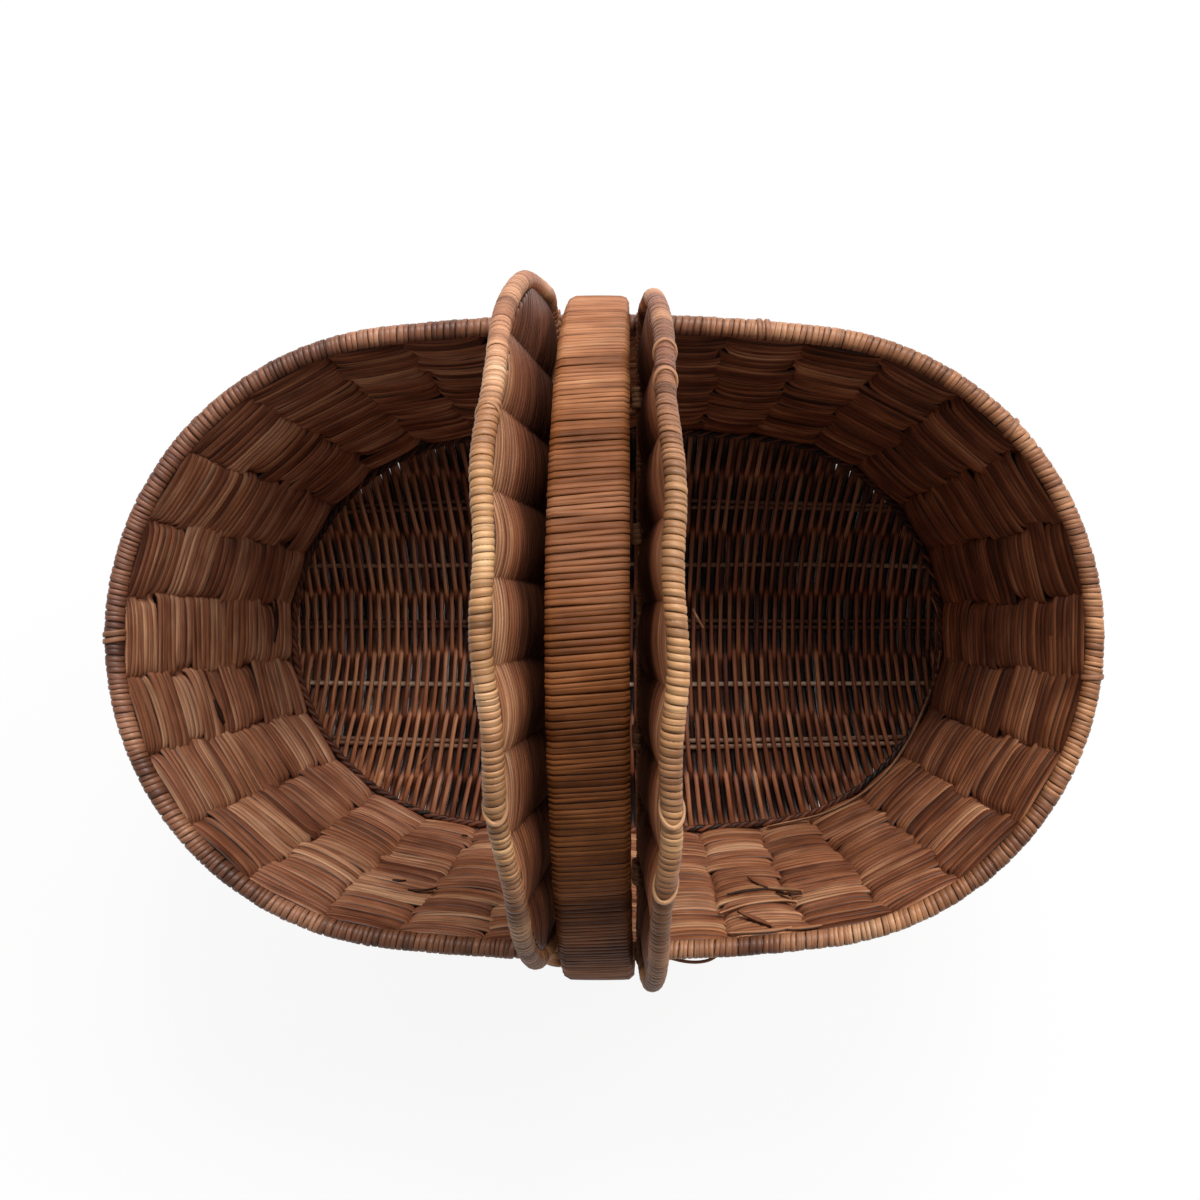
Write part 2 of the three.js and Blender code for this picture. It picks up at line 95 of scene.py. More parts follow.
# Sizes of the strands
WALL_ROWS = 20
WALL_CANES = (3, 4, 4, 5)  # side by side in a row, drawn at random
WALL_SAMPLES = 16  # from one stake to the next
WALL_CROWDING = 0.1  # how far samples move towards the places where rows cross, in stakes
WALL_EARLY = 0.09  # how far rows cross before or after the middle between two stakes, in stakes
WALL_TOP_REACH = 0.0015  # how far the top rows go up beside the rim
WALL_STRAND_HALF = 0.00115  # half a strand's thickness
WALL_SWING = STAKE_RADIUS + WALL_STRAND_HALF + 0.0001
WALL_FLATNESS = 0.5  # low where strands lie flat across a stake and dive steeply between two
WALL_PIECES = 6
WALL_CANE_TONES = (-0.14, 0, 0, 0, 0, 0.05, 0.2)  # how much paler a cane is than its row, drawn at random
FLOOR_STICK_BOW = 0.003  # how far the outer sticks' ends lie nearer the middle
FLOOR_STICK_TONES = (0.4, 0.75, 0.1, 0.6, 0.25)  # one for each row, from -Y: dark and pale rods
BASE_PIECES = 2
BASE_PITCH = 0.0026
BASE_STRAND_HALF = 0.00122
BASE_STRAND_THICK = 0.0011
BASE_FAN = 13.5  # how much the strands spread towards the floor's long edges, per square metre
BASE_STRAND_END = 0.010  # over which a strand comes back to the level of the floor
FOOT_TURNS = 52
BORDER_TURNS = 96
RIM_TURNS = 468
BAR_CANE_PITCH = 0.003
LID_CANE_PITCH = 0.00255
HANDLE_CANE_PITCH = 0.0025
HANDLE_SAMPLES = 900
CANE_HALF = 0.0006  # half the thickness of wrapping cane
CORE_INSET = 1.2 * CANE_HALF  # how far the wound core lies within the outside
CORE_TONE = -0.3
OVERLAP = 1.1  # how much wider a turn of cane is than its place
# Places where one cane ends and the next begins: shares of the way round the rim, and Y along each lid
RIM_KNOTS = (0.087, 0.1885, 0.1915, 0.4985, 0.5010, 0.985)
LID_KNOTS = {"left": (0.071, -0.063), "right": (0.104, 0.092, -0.055, -0.083)}
LID_PITCH = 0.0031
LID_STRAND_THICK = 0.00105  # half a strand's thickness
LID_STRAND_END = 0.0008  # how far the strands' ends go into the hoop
LID_WAVE = 0.0009  # how far the ribs push the lids' edge in and out
LID_WAVE_HEIGHT = 0.15  # where the waves are full
# Each lid's hoop: its cane's tone, and how much darker its -Y end is, as painted shade on the end that faces
# away from the light
LID_HOOP_TONES = {"left": (0.42, 0.22), "right": (0.24, 0.06)}
LOOP_TURNS = 4
HANDLE_DRAW = 1.35  # over 1 where the handle's -Y side is drawn in above its shoulder
HANDLE_SWELL = 0.0003  # how much thicker the strip is along its middle

# The photograph's frame, and the camera, which looks straight down
PHOTO_SIZE = 1200
NADIR_PIXEL = (666.6, 605.8)  # straight below the lens
CAMERA = np.array([0.0285, 0.0145, RIM_HEIGHT + 0.759])
LENS_PIXELS = 1650.0  # the picture's pixels for each metre at one metre from the lens
SENSOR_WIDTH = 36.0  # in millimetres, as Blender has it

# The studio
FLOOR_REACH = 60.0
LAMP_SIZE = 1.4
LAMP_TARGET = (0, 0, 0.15)
LAMPS = {  # place and power
    "key": ((0.5, 2.4, 2.7), 96),
    "left": ((-1.0, 2.3, 2.5), 30),
    "right": ((2.2, 1.5, 2.6), 66),
}
WORLD_LIGHT = 0.3

# Canes that lie on the wall: tone, hue, half width, half thickness, first and last lift off it, pixels. Those
# with a negative tone are dark strips of painted shadow, laid where shadows and gaps between canes are.
WALL_STRAYS_AND_SHADOWS = [
    (0.6, 0.0, 0.0019, 0.0008, (0.0022, 0.0004), [(738, 916), (755, 921), (773, 928)]),
    (0.5, 0.2, 0.0018, 0.0008, (0.0014, 0.0002), [(748, 880), (758, 884), (769, 889)]),
    (0.8, 0.7, 0.0019, 0.0008, (0.0002, 0.0002), [(768, 889), (786, 890), (803, 891)]),
    (-0.4, 0.5, 0.0012, 0.0004, (0.0004, 0.0004), [(727, 895), (746, 891), (768, 889)]),
    (-0.4, 0.5, 0.0012, 0.0004, (0.0004, 0.0004), [(776, 893), (788, 895), (803, 894)]),
    (0.85, 0.7, 0.0022, 0.0008, (0.0001, 0.0001), [(719, 914), (748, 904), (778, 901), (798, 902)]),
    (0.75, 0.7, 0.0022, 0.0010, (0.0004, 0.0004), [(728, 938), (756, 936), (775, 932), (792, 929)]),
    (0.75, 0.7, 0.0020, 0.0008, (0.0002, 0.0002), [(786, 930), (806, 930), (822, 931)]),
    (-0.4, 0.5, 0.0011, 0.0004, (0.0004, 0.0004), [(778, 934), (792, 934), (806, 933)]),
    (0.55, 0.0, 0.0015, 0.0009, (0.0006, 0.0001), [(204, 670), (212, 688), (221, 710)]),
    (-0.8, 0.5, 0.0022, 0.0006, (0.0005, 0.0005), [(213, 700), (219, 712), (224, 724)]),
    (-0.3, 0.5, 0.0020, 0.0005, (0.0004, 0.0004), [(275, 600), (276, 620), (274, 642)]),
    (-0.7, 0.5, 0.0020, 0.0005, (0.0004, 0.0004), [(462, 836), (464, 836), (467, 837)]),
    (-0.5, 0.5, 0.0014, 0.0004, (0.0003, 0.0003), [(392, 880), (399, 881), (406, 881)]),
    (-0.5, 0.5, 0.0014, 0.0004, (0.0003, 0.0003), [(408, 890), (422, 891), (437, 889)]),
    (
        0.75, 0.8, 0.0014, 0.0008, (0.0005, 0.0005),
        [(942, 650), (934, 682), (910, 740), (877, 783), (830, 812), (767, 828)],
    ),
    (0.8, 0.8, 0.0010, 0.0007, (0.0012, 0.0040), [(936, 616), (928, 607), (920, 599)]),
]
# Canes that stand free: tone, half width and pixels with heights
FREE_STRAYS = [
    (0.7, 0.0004, [(432, 745, 0.018), (426, 757, 0.0195), (417, 768, 0.018)]),
    (
        0.6, 0.0008,
        [(655, 948, 0.205), (668, 957, 0.204), (690, 962, 0.2035), (709, 960, 0.204), (724, 950, 0.205)],
    ),
    (0.8, 0.0007, [(693, 609, 0.05), (697, 617, 0.054), (703, 628, 0.05)]),
]

UP = np.array([0.0, 0.0, 1.0])
ALONG_X = np.array([1.0, 0.0, 0.0])
ALONG_Y = np.array([0.0, 1.0, 0.0])

rng = np.random.default_rng(11)


def unit(vectors):
    return vectors / np.linalg.norm(vectors, axis=-1, keepdims=True)


def rise(value, start, end):
    """0 before start, 1 after end, and an even rise between."""
    return np.clip((value - start) / (end - start), 0, 1)


def frames(centres, about, closed=False):
    """Directions across and out for lines whose out side is nearest to about."""
    if closed:
        along = unit(np.roll(centres, -1, -2) - np.roll(centres, 1, -2))
    else:
        along = unit(np.gradient(centres, axis=-2))
    across = unit(np.cross(along, about))
    return across, np.cross(across, along)


def between(places, known, values, period=None):
    """Rows of values at places, from the rows at known places."""
    return np.stack([np.interp(places, known, column, period=period) for column in values.T], -1)


def numbered(name, count):
    return [f"{name}_{i + 1}" for i in range(count)]


def drift(rows, samples, knots, closed=False):
    """Smooth random curves between about -1 and 1, one for each row, through a number of knots."""
    values = rng.uniform(-1, 1, (rows, knots if closed else knots + 3))
    place = np.arange(samples) * knots / (samples if closed else max(samples - 1, 1))
    start = np.minimum(np.floor(place).astype(int), knots - 1)
    part = place - start
    a, b, c, d = (values[:, (start + k) % values.shape[1]] for k in range(4))
    cubic = 3 * (b - c) + d - a
    return b + 0.5 * part * (c - a + part * (2 * a - 5 * b + 4 * c - d + part * cubic))


def oval_arcs(half):
    """The four arcs of an oval: radius and centre of its ends and sides, and the angle where they meet."""
    end_radius = END_ROUNDNESS * half[1]
    end_centre = half[0] - end_radius
    drop = half[1] - end_radius
    side_centre = (end_centre**2 - drop**2) / (2 * drop)
    turn = math.atan2(side_centre, end_centre)
    return end_radius, end_centre, half[1] + side_centre, side_centre, turn


def oval(arcs, share):
    """Points and outward normals of a four-arc oval at shares of its perimeter from +X towards +Y."""
    end_radius, end_centre, side_radius, side_centre, turn = arcs
    end_length = end_radius * turn
    side_length = side_radius * (math.pi / 2 - turn)
    quarters = 4 * (share - np.floor(share))
    quarter = np.floor(quarters).astype(int) % 4
    part = quarters - np.floor(quarters)
    length = np.where(quarter % 2 == 1, 1 - part, part) * (end_length + side_length)
    on_end = length <= end_length
    angle = np.where(on_end, length / end_radius, turn + (length - end_length) / side_radius)
    radius = np.where(on_end, end_radius, side_radius)
    sign_x = np.where((quarter == 1) | (quarter == 2), -1.0, 1.0)
    sign_y = np.where(quarter < 2, 1.0, -1.0)
    x = sign_x * (radius * np.cos(angle) + np.where(on_end, end_centre, 0))
    y = sign_y * (radius * np.sin(angle) - np.where(on_end, 0, side_centre))
    normal = np.stack([sign_x * np.cos(angle), sign_y * np.sin(angle), 0 * angle], -1)
    return np.stack([x, y, 0 * x], -1), normal


def oval_reach(arcs, y, inset):
    """How far an oval drawn in by inset reaches along X at each y."""
    end_radius, end_centre, side_radius, side_centre, turn = arcs
    end_radius, side_radius = end_radius - inset, side_radius - inset
    on_end = np.abs(y) <= end_radius * math.sin(turn)
    end = end_centre + np.sqrt(np.maximum(end_radius**2 - y**2, 0))
    side = np.sqrt(np.maximum(side_radius**2 - (np.abs(y) + side_centre) ** 2, 0))
    return np.where(on_end, end, side)


def strip_outline(part, flat, radius):
    """The way round a flat strip with round edges, from the start of its upper side, at parts of a turn.

    It gives the places along and off the strip's middle plane, and the outward direction in the same order."""
    bend = math.pi * radius
    reach = part * 2 * (flat + bend)
    zero = 0 * reach
    sections = [reach < flat, reach < flat + bend, reach < 2 * flat + bend]
    middle = np.select(sections, [reach, flat + zero, 2 * flat + bend - reach], zero)
    angle = np.select(sections, [zero, (reach - flat) / radius, math.pi + zero], (reach - 2 * flat) / radius)
    along, off = np.sin(angle), np.cos(angle)
    return middle + radius * along, radius * off, along, off


rim_arcs, floor_arcs = oval_arcs(RIM_HALF), oval_arcs(FLOOR_HALF)
lid_arcs = oval_arcs((RIM_HALF[0], LID_HALF_WIDTH))


def wall(share, height):
    """Points on the middle of the wall, and the directions out of it and up it."""
    low, low_out = oval(floor_arcs, share)
    high, high_out = oval(rim_arcs, share)
    part = ((height - HOOP_HEIGHT) / (RIM_HEIGHT - HOOP_HEIGHT))[..., None]
    points = low + (high - low) * part + height[..., None] * UP
    up = unit(high - low + (RIM_HEIGHT - HOOP_HEIGHT) * UP)
    out = unit(low_out + (high_out - low_out) * part)
    out = unit(out - np.sum(out * up, -1, keepdims=True) * up)
    return points, out, up


class Strands:
    """Collects strands, each a section swept along a line, and makes one mesh of them.

    The section is a superellipse: square is 1 for an ellipse and less for a boxier outline. groove is a dip
    along the strand's middle. lift is 1 where a strand lies outside what it crosses and -1 where it is inside,
    recess is how much darker its hidden side is there and back how much darker the side away from out is:
    both are painted shade."""

    def __init__(self):
        self.points, self.faces, self.maps = [], [], []
        self.tone, self.hue, self.edge, self.count = [], [], [], 0

    def add(
        self, centres, across, out, half_width, half_thick, sides=8, closed=False, tone=0.5, hue=0.5,
        square=0.85, groove=0.0, lift=0.0, recess=0.0, back=0.0,
    ):
        rows, samples = centres.shape[:2]
        shape = (rows, samples, sides)
        angle = 2 * math.pi * (np.arange(sides) + 0.5) / sides
        wide = np.sign(np.cos(angle)) * np.abs(np.cos(angle)) ** square
        thick = np.sign(np.sin(angle)) * np.abs(np.sin(angle)) ** square
        dip = 1 - np.broadcast_to(groove, (rows, 1)) * np.exp(-((np.abs(wide) / 0.35) ** 2))
        half_width = np.broadcast_to(half_width, (rows, samples))[..., None]
        half_thick = np.broadcast_to(half_thick, (rows, samples))[..., None]
        a = (half_width * wide)[..., None] * across[:, :, None, :]
        b = (half_thick * (thick * dip)[:, None, :])[..., None] * out[:, :, None, :]
        points = centres[:, :, None, :] + a + b
        index = self.count + np.arange(rows * samples * sides).reshape(shape)
        near = index if closed else index[:, :-1]
        far = np.roll(index, -1, 1) if closed else index[:, 1:]
        quads = np.stack([near, np.roll(near, -1, 2), np.roll(far, -1, 2), far], -1)
        step = np.linalg.norm(np.diff(centres, axis=1, append=centres[:, :1]), axis=-1)
        reach = np.concatenate([np.zeros((rows, 1)), np.cumsum(step, 1)], 1) + rng.uniform(0, 9, (rows, 1))
        girth = 4 * np.mean(half_width) * np.arange(sides + 1) / sides
        links = quads.shape[1]
        fill = np.zeros((rows, links, sides))
        u, u_far = reach[:, :links, None] + fill, reach[:, 1 : links + 1, None] + fill
        v, v_far = girth[:sides] + fill, girth[1:] + fill
        uv = np.stack([np.stack(pair, -1) for pair in ((u, v), (u, v_far), (u_far, v_far), (u_far, v))], -2)
        flat = points.reshape(-1, 3)
        a, b, c, d = (flat[quads.reshape(-1, 4)[:, k] - self.count] for k in range(4))
        volume = np.sum(a * np.cross(b, c)) + np.sum(a * np.cross(c, d))
        quads, uv = quads.reshape(-1, 4), uv.reshape(-1, 4, 2)
        ends = [] if closed else [index[:, 0, ::-1], index[:, -1]]
        if volume < 0:
            quads, uv = quads[:, ::-1], uv[:, ::-1]
            ends = [end[:, ::-1] for end in ends]
        self.faces.append(quads)
        self.maps.append(uv.reshape(-1, 2))
        for end in ends:
            self.faces.append(end)
            self.maps.append(np.zeros((end.size, 2)))
        self.points.append(flat)
        lift, tone, hue = (np.broadcast_to(value, (rows, samples))[..., None] for value in (lift, tone, hue))
        # Painted shade: the side of a strand that dives under the strands it crosses is darkened, and so is the
        # side away from out.
        buried = np.clip(0.25 - 1.2 * lift * np.sign(thick), 0, 1)
        self.tone.append((tone - recess * buried - back * (thick < 0)).ravel())
        self.hue.append((hue + np.zeros(shape)).ravel())
        self.edge.append((np.abs(wide) + np.zeros(shape)).ravel())
        self.count += flat.shape[0]

    def sweep(self, centres, about, half_width, half_thick, closed=False, **looks):
        """Adds strands whose out side is the one nearest to about."""
        self.add(centres, *frames(centres, about, closed), half_width, half_thick, closed=closed, **looks)

    def build(self, name, body, slot, material, replaced=()):
        """Makes the piece, which rides a body and replaces nodes of the CAD model."""
        mesh = bpy.data.meshes.new(name)
        points = np.concatenate(self.points)
        loops = np.concatenate([face.ravel() for face in self.faces])
        totals = np.concatenate([np.full(len(face), face.shape[1]) for face in self.faces])
        mesh.vertices.add(len(points))
        mesh.vertices.foreach_set("co", points.astype(np.float32).ravel())
        mesh.loops.add(len(loops))
        mesh.loops.foreach_set("vertex_index", loops.astype(np.int32))
        mesh.polygons.add(len(totals))
        mesh.polygons.foreach_set("loop_start", (np.cumsum(totals) - totals).astype(np.int32))
        mesh.polygons.foreach_set("loop_total", totals.astype(np.int32))
        mesh.polygons.foreach_set("use_smooth", totals == 4)
        strand_map = mesh.uv_layers.new(name="Strand")
        strand_map.data.foreach_set("uv", np.concatenate(self.maps).astype(np.float32).ravel())
        for key in ("tone", "hue", "edge"):
            values = np.concatenate(getattr(self, key)).astype(np.float32)
            mesh.attributes.new(key, "FLOAT", "POINT").data.foreach_set("value", values)
        mesh.validate()
        mesh.update()
        piece = bpy.data.objects.new(name, mesh)
        bpy.context.scene.collection.objects.link(piece)
        mesh.materials.append(material)
        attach(piece, body)
        if replaced:
            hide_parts(*replaced)


# Materials


def linear(*rgb):
    """A colour written in sRGB steps of 0 to 255, as Blender's linear values."""
    parts = [c / 255 for c in rgb]
    return [c / 12.92 if c < 0.04045 else ((c + 0.055) / 1.055) ** 2.4 for c in parts] + [1.0]


def node(tree, kind, inputs=None, **settings):
    made = tree.nodes.new(kind)
    for key, value in settings.items():
        setattr(made, key, value)
    for socket, value in (inputs or {}).items():
        if isinstance(value, bpy.types.NodeSocket):
            tree.links.new(value, made.inputs[socket])
        else:
            made.inputs[socket].default_value = value
    return made


def ramp(tree, factor, stops):
    made = node(tree, "ShaderNodeValToRGB", {"Fac": factor})
    elements = made.color_ramp.elements
    while len(elements) < len(stops):
        elements.new(0.5)
    for element, (place, colour) in zip(elements, stops):
        element.position, element.color = place, colour
    return made.outputs["Color"]


def attribute(tree, key):
    return node(tree, "ShaderNodeAttribute", attribute_name=key).outputs["Fac"]


def maths(tree, operation, *values):
    return node(tree, "ShaderNodeMath", dict(enumerate(values)), operation=operation).outputs[0]


def mix(tree, factor, a, b, blend="MIX"):
    inputs = {0: factor, 6: a, 7: b}  # the sockets for colours
    return node(tree, "ShaderNodeMix", inputs, data_type="RGBA", blend_type=blend).outputs[2]


def map_range(tree, value, start, end, low=0.0, high=1.0, kind="LINEAR"):
    inputs = {0: value, 1: start, 2: end, 3: low, 4: high}
    return node(tree, "ShaderNodeMapRange", inputs, interpolation_type=kind).outputs[0]


def noise(tree, vector, scale, detail):
    return node(tree, "ShaderNodeTexNoise", {"Vector": vector, "Scale": scale, "Detail": detail}).outputs["Fac"]


def fibres(tree, along, across):
    """Noise drawn out along a strand: along and across are its scales per metre."""
    place = node(tree, "ShaderNodeUVMap", uv_map="Strand").outputs["UV"]
    scaled = node(tree, "ShaderNodeMapping", {"Vector": place, "Scale": (along, across, 1.0)})
    return noise(tree, scaled.outputs["Vector"], 1.0, 3.0)


def grey(level):
    return (level, level, level, 1)


def rattan(name, cool, warm, dark, roughness=0.5, coat=0.1, specular=0.4, streaks=0.5, edge_shade=0.75):
    """Rattan whose colour follows each strand's tone, from dark to pale, in a cool and a warm range.

    streaks is how strong its fibres' lines are. The last argument is how much of the dark colour lies along its
    edges: painted shade in the crevices between strands."""
    material = bpy.data.materials.new(name)
    material.use_nodes = True
    tree = material.node_tree
    shader = tree.nodes["Principled BSDF"]
    tone, hue, edge = (attribute(tree, key) for key in ("tone", "hue", "edge"))
    blotches = noise(tree, node(tree, "ShaderNodeTexCoord").outputs["Object"], 55.0, 2.0)
    tone = maths(tree, "ADD", tone, maths(tree, "MULTIPLY", maths(tree, "SUBTRACT", blotches, 0.5), 0.5))
    places = (0.0, 0.35, 0.65, 1.0)
    colours = [ramp(tree, tone, [(p, linear(*c)) for p, c in zip(places, steps)]) for steps in (cool, warm)]
    colour = mix(tree, hue, *colours)
    coarse, fine = fibres(tree, 22.0, 900.0), fibres(tree, 90.0, 3200.0)
    lines = ramp(tree, coarse, [(0.3, grey(1 - streaks)), (0.5, grey(1)), (0.72, grey(1 + 0.45 * streaks))])
    colour = mix(tree, 1.0, colour, lines, "MULTIPLY")
    grain = ramp(tree, fine, [(0.35, (0.78, 0.76, 0.74, 1)), (0.6, grey(1.05))])
    colour = mix(tree, 0.6, colour, grain, "MULTIPLY")
    # The edges go towards the dark colour: painted shade in the crevices between strands.
    shaded = map_range(tree, edge, 0.72, 1.0, 0.0, edge_shade, "SMOOTHSTEP")
    colour = mix(tree, shaded, colour, linear(*dark))
    tree.links.new(colour, shader.inputs["Base Color"])
    rough = map_range(tree, coarse, 0.3, 0.7, roughness + 0.12, roughness - 0.08)
    tree.links.new(rough, shader.inputs["Roughness"])
    height = maths(tree, "ADD", maths(tree, "MULTIPLY", coarse, 0.7), maths(tree, "MULTIPLY", fine, 0.3))
    bumped = node(tree, "ShaderNodeBump", {"Strength": 0.4, "Distance": 0.0006, "Height": height})
    tree.links.new(bumped.outputs["Normal"], shader.inputs["Normal"])
    shader.inputs["Specular IOR Level"].default_value = specular
    shader.inputs["Coat Weight"].default_value = coat
    shader.inputs["Coat Roughness"].default_value = 0.32
    return material


wall_rattan = rattan(
    "wall_rattan",
    [(52, 26, 15), (106, 60, 41), (150, 96, 69), (194, 145, 112)],
    [(56, 27, 12), (112, 62, 36), (158, 100, 64), (204, 153, 109)],
    (28, 13, 6), coat=0.04, specular=0.3, streaks=0.72, edge_shade=0.9,
)
base_rattan = rattan(
    "base_rattan",
    [(24, 12, 8), (90, 47, 30), (134, 78, 52), (172, 116, 84)],
    [(26, 12, 7), (96, 50, 28), (144, 82, 50), (182, 124, 84)],
    (20, 9, 5), coat=0.03, specular=0.3,
)
stick_rattan = rattan(
    "stick_rattan",
    [(70, 38, 26), (122, 86, 66), (162, 132, 108), (196, 170, 148)],
    [(74, 40, 25), (128, 88, 64), (170, 136, 108), (204, 176, 148)],
    (44, 28, 19), roughness=0.62,
)
rim_cane = rattan(
    "rim_cane",
    [(78, 44, 30), (128, 82, 60), (162, 112, 84), (196, 150, 118)],
    [(96, 56, 32), (156, 104, 66), (196, 144, 100), (224, 182, 138)],
    (34, 17, 10), streaks=0.45,
)
lid_cane = rattan(
    "lid_cane",
    [(104, 60, 36), (154, 98, 68), (182, 126, 92), (208, 162, 128)],
    [(120, 78, 44), (176, 128, 84), (208, 164, 116), (232, 202, 158)],
    (60, 34, 20), streaks=0.45, edge_shade=0.5,
)
handle_cane = rattan(
    "handle_cane",
    [(84, 44, 20), (138, 84, 52), (170, 114, 80), (206, 158, 122)],
    [(90, 46, 16), (146, 88, 46), (178, 118, 74), (212, 160, 112)],
    (34, 15, 6), coat=0.02, specular=0.17, edge_shade=0.5,
)

# Wall: each row is a few canes side by side. It runs outside one stake and inside the next, and the
# next row runs the other way round


def wall_weave():
    samples = STAKE_COUNT * WALL_SAMPLES
    around = lambda rows, knots: drift(rows, samples, knots, True)
    step = np.arange(samples) / WALL_SAMPLES
    place = step + WALL_CROWDING * np.sin(2 * math.pi * step)
    share = place / STAKE_COUNT
    pitch = np.exp(0.14 * rng.standard_normal((WALL_ROWS, 1)) + 0.2 * around(WALL_ROWS, 32))
    edges = np.concatenate([np.zeros((1, samples)), np.cumsum(pitch, 0)], 0)
    edges = WALL_BOTTOM + (WALL_TOP + WALL_TOP_REACH - WALL_BOTTOM) * edges / edges[-1]
    middle = (edges[1:] + edges[:-1]) / 2
    lower = np.concatenate([edges[:1], edges[:1], middle[1:-1]], 0)
    upper = np.concatenate([middle[1:-1], edges[-1:], edges[-1:]], 0)
    early = WALL_EARLY * around(WALL_ROWS, 2 * STAKE_COUNT)
    swing = np.cos(math.pi * (place + early)) * np.where(np.arange(WALL_ROWS) % 2, -1, 1)[:, None]
    height, half_height = (upper + lower) / 2, (upper - lower) / 2
    offset = np.sign(swing) * np.abs(swing) ** WALL_FLATNESS * WALL_SWING
    side, depth = np.cos(2 * math.pi * share), np.sin(2 * math.pi * share)
    far = np.clip(depth, 0, 1)
    near = np.clip(-depth, 0, 1) ** 3 * np.clip(0.5 + side, 0, 1) * np.clip(2.1 - 2 * side, 0, 1)
    # Painted light and shade: rows are lighter on the near (-Y) wall and towards -X, and darker on the far (+Y)
    # wall, as the light falls from +Y. The rest is random tone.
    tone = 0.54 - 0.13 * side - 0.05 * far + 0.21 * near
    tone = tone + 0.04 * rng.standard_normal((WALL_ROWS, 1)) + 0.1 * around(WALL_ROWS, 24)
    hue = 0.35 + 0.3 * side + 0.2 * far + 0.25 * around(WALL_ROWS, 16)
    canes = rng.choice(WALL_CANES, WALL_ROWS)
    for i, band in enumerate(np.array_split(np.arange(WALL_ROWS), WALL_PIECES)):
        strands = Strands()
        for number in sorted(set(WALL_CANES)):
            rows = band[canes[band] == number]
            count = len(rows)
            for k in range(number if count else 0):
                part = (2 * k + 1) / number - 1
                shift = part * half_height[rows] * (1 + 0.06 * around(count, 60))
                lift = offset[rows] - 0.0003 * part**2 + 0.0003 * around(count, 64)
                points, out, up = wall(np.broadcast_to(share, shift.shape), height[rows] + shift)
                centres = points + out * lift[..., None]
                along = unit(np.roll(centres, -1, 1) - np.roll(centres, 1, 1))
                outward = unit(np.cross(along, up))
                across = unit(np.cross(outward, along))
                half = half_height[rows] / number * (1.11 + 0.08 * around(count, 50))
                thick = WALL_STRAND_HALF * (0.96 + 0.1 * around(count, 50))
                cane_tone = tone[rows] + rng.choice(WALL_CANE_TONES, (count, 1))
                # Random tone along each cane; the extra on the far (+Y) wall stands in for glints there, painted
                # highlight.
                cane_tone += (0.1 + 0.2 * far) * around(count, 48)
                strands.add(
                    centres, across, outward, half, thick, sides=10, closed=True, square=1.05,
                    tone=cane_tone, hue=hue[rows], lift=offset[rows] / WALL_SWING, recess=0.24,
                )
        strands.build(f"wall_strands_{i + 1}", "basket", "wall_weave", wall_rattan, ["wall_weave"])


wall_weave()


def hoop(strands, arcs, height, radius, samples, tone):
    points, out = oval(arcs, np.arange(samples) / samples)
    centres = (points + height * UP)[None]
    strands.add(
        centres, out[None], np.broadcast_to(UP, centres.shape), radius, radius,
        sides=12, closed=True, tone=tone, square=1.0,
    )


def rods(strands, starts, ends, radius, bend, tone, samples=24, bow=0.0):
    """Rods that wander a little, each from its start to its end, which bow moves along Y."""
    count = len(starts)
    part = np.linspace(0, 1, samples)[None, :, None]
    starts, ends = np.asarray(starts, float)[:, None], np.asarray(ends, float)[:, None]
    along = unit(ends - starts)
    side = unit(np.cross(along, np.where(np.abs(along[..., 2:]) > 0.7, ALONG_X, UP)))
    other = np.cross(along, side)
    wobble = [bend * drift(count, samples, 5)[..., None] for _ in range(2)]
    centres = starts + (ends - starts) * part + side * wobble[0] + other * wobble[1]
    centres[..., 1] += np.reshape(bow, (-1, 1)) * (2 * part[..., 0] - 1) ** 2
    fill = np.ones((1, samples, 1))
    radius = radius * (1 + 0.05 * drift(count, samples, 6))
    strands.add(centres, side * fill, other * fill, radius, radius, sides=10, tone=tone, square=1.0)


def stakes():
    strands = Strands()
    share = np.arange(STAKE_COUNT) / STAKE_COUNT
    low, *_ = wall(share, np.full(STAKE_COUNT, HOOP_HEIGHT))
    high, *_ = wall(share, np.full(STAKE_COUNT, WALL_TOP))
    tone = 0.35 + 0.15 * rng.standard_normal((STAKE_COUNT, 1))
    rods(strands, low, high, STAKE_RADIUS, bend=0.0001, tone=tone)
    hoop(strands, floor_arcs, HOOP_HEIGHT, FLOOR_HOOP_RADIUS, samples=320, tone=0.3)
    strands.build("stakes", "basket", "bare_rattan", base_rattan, ["stake_frame"])


stakes()

# Floor: strands along Y, each over one row of sticks and under the next


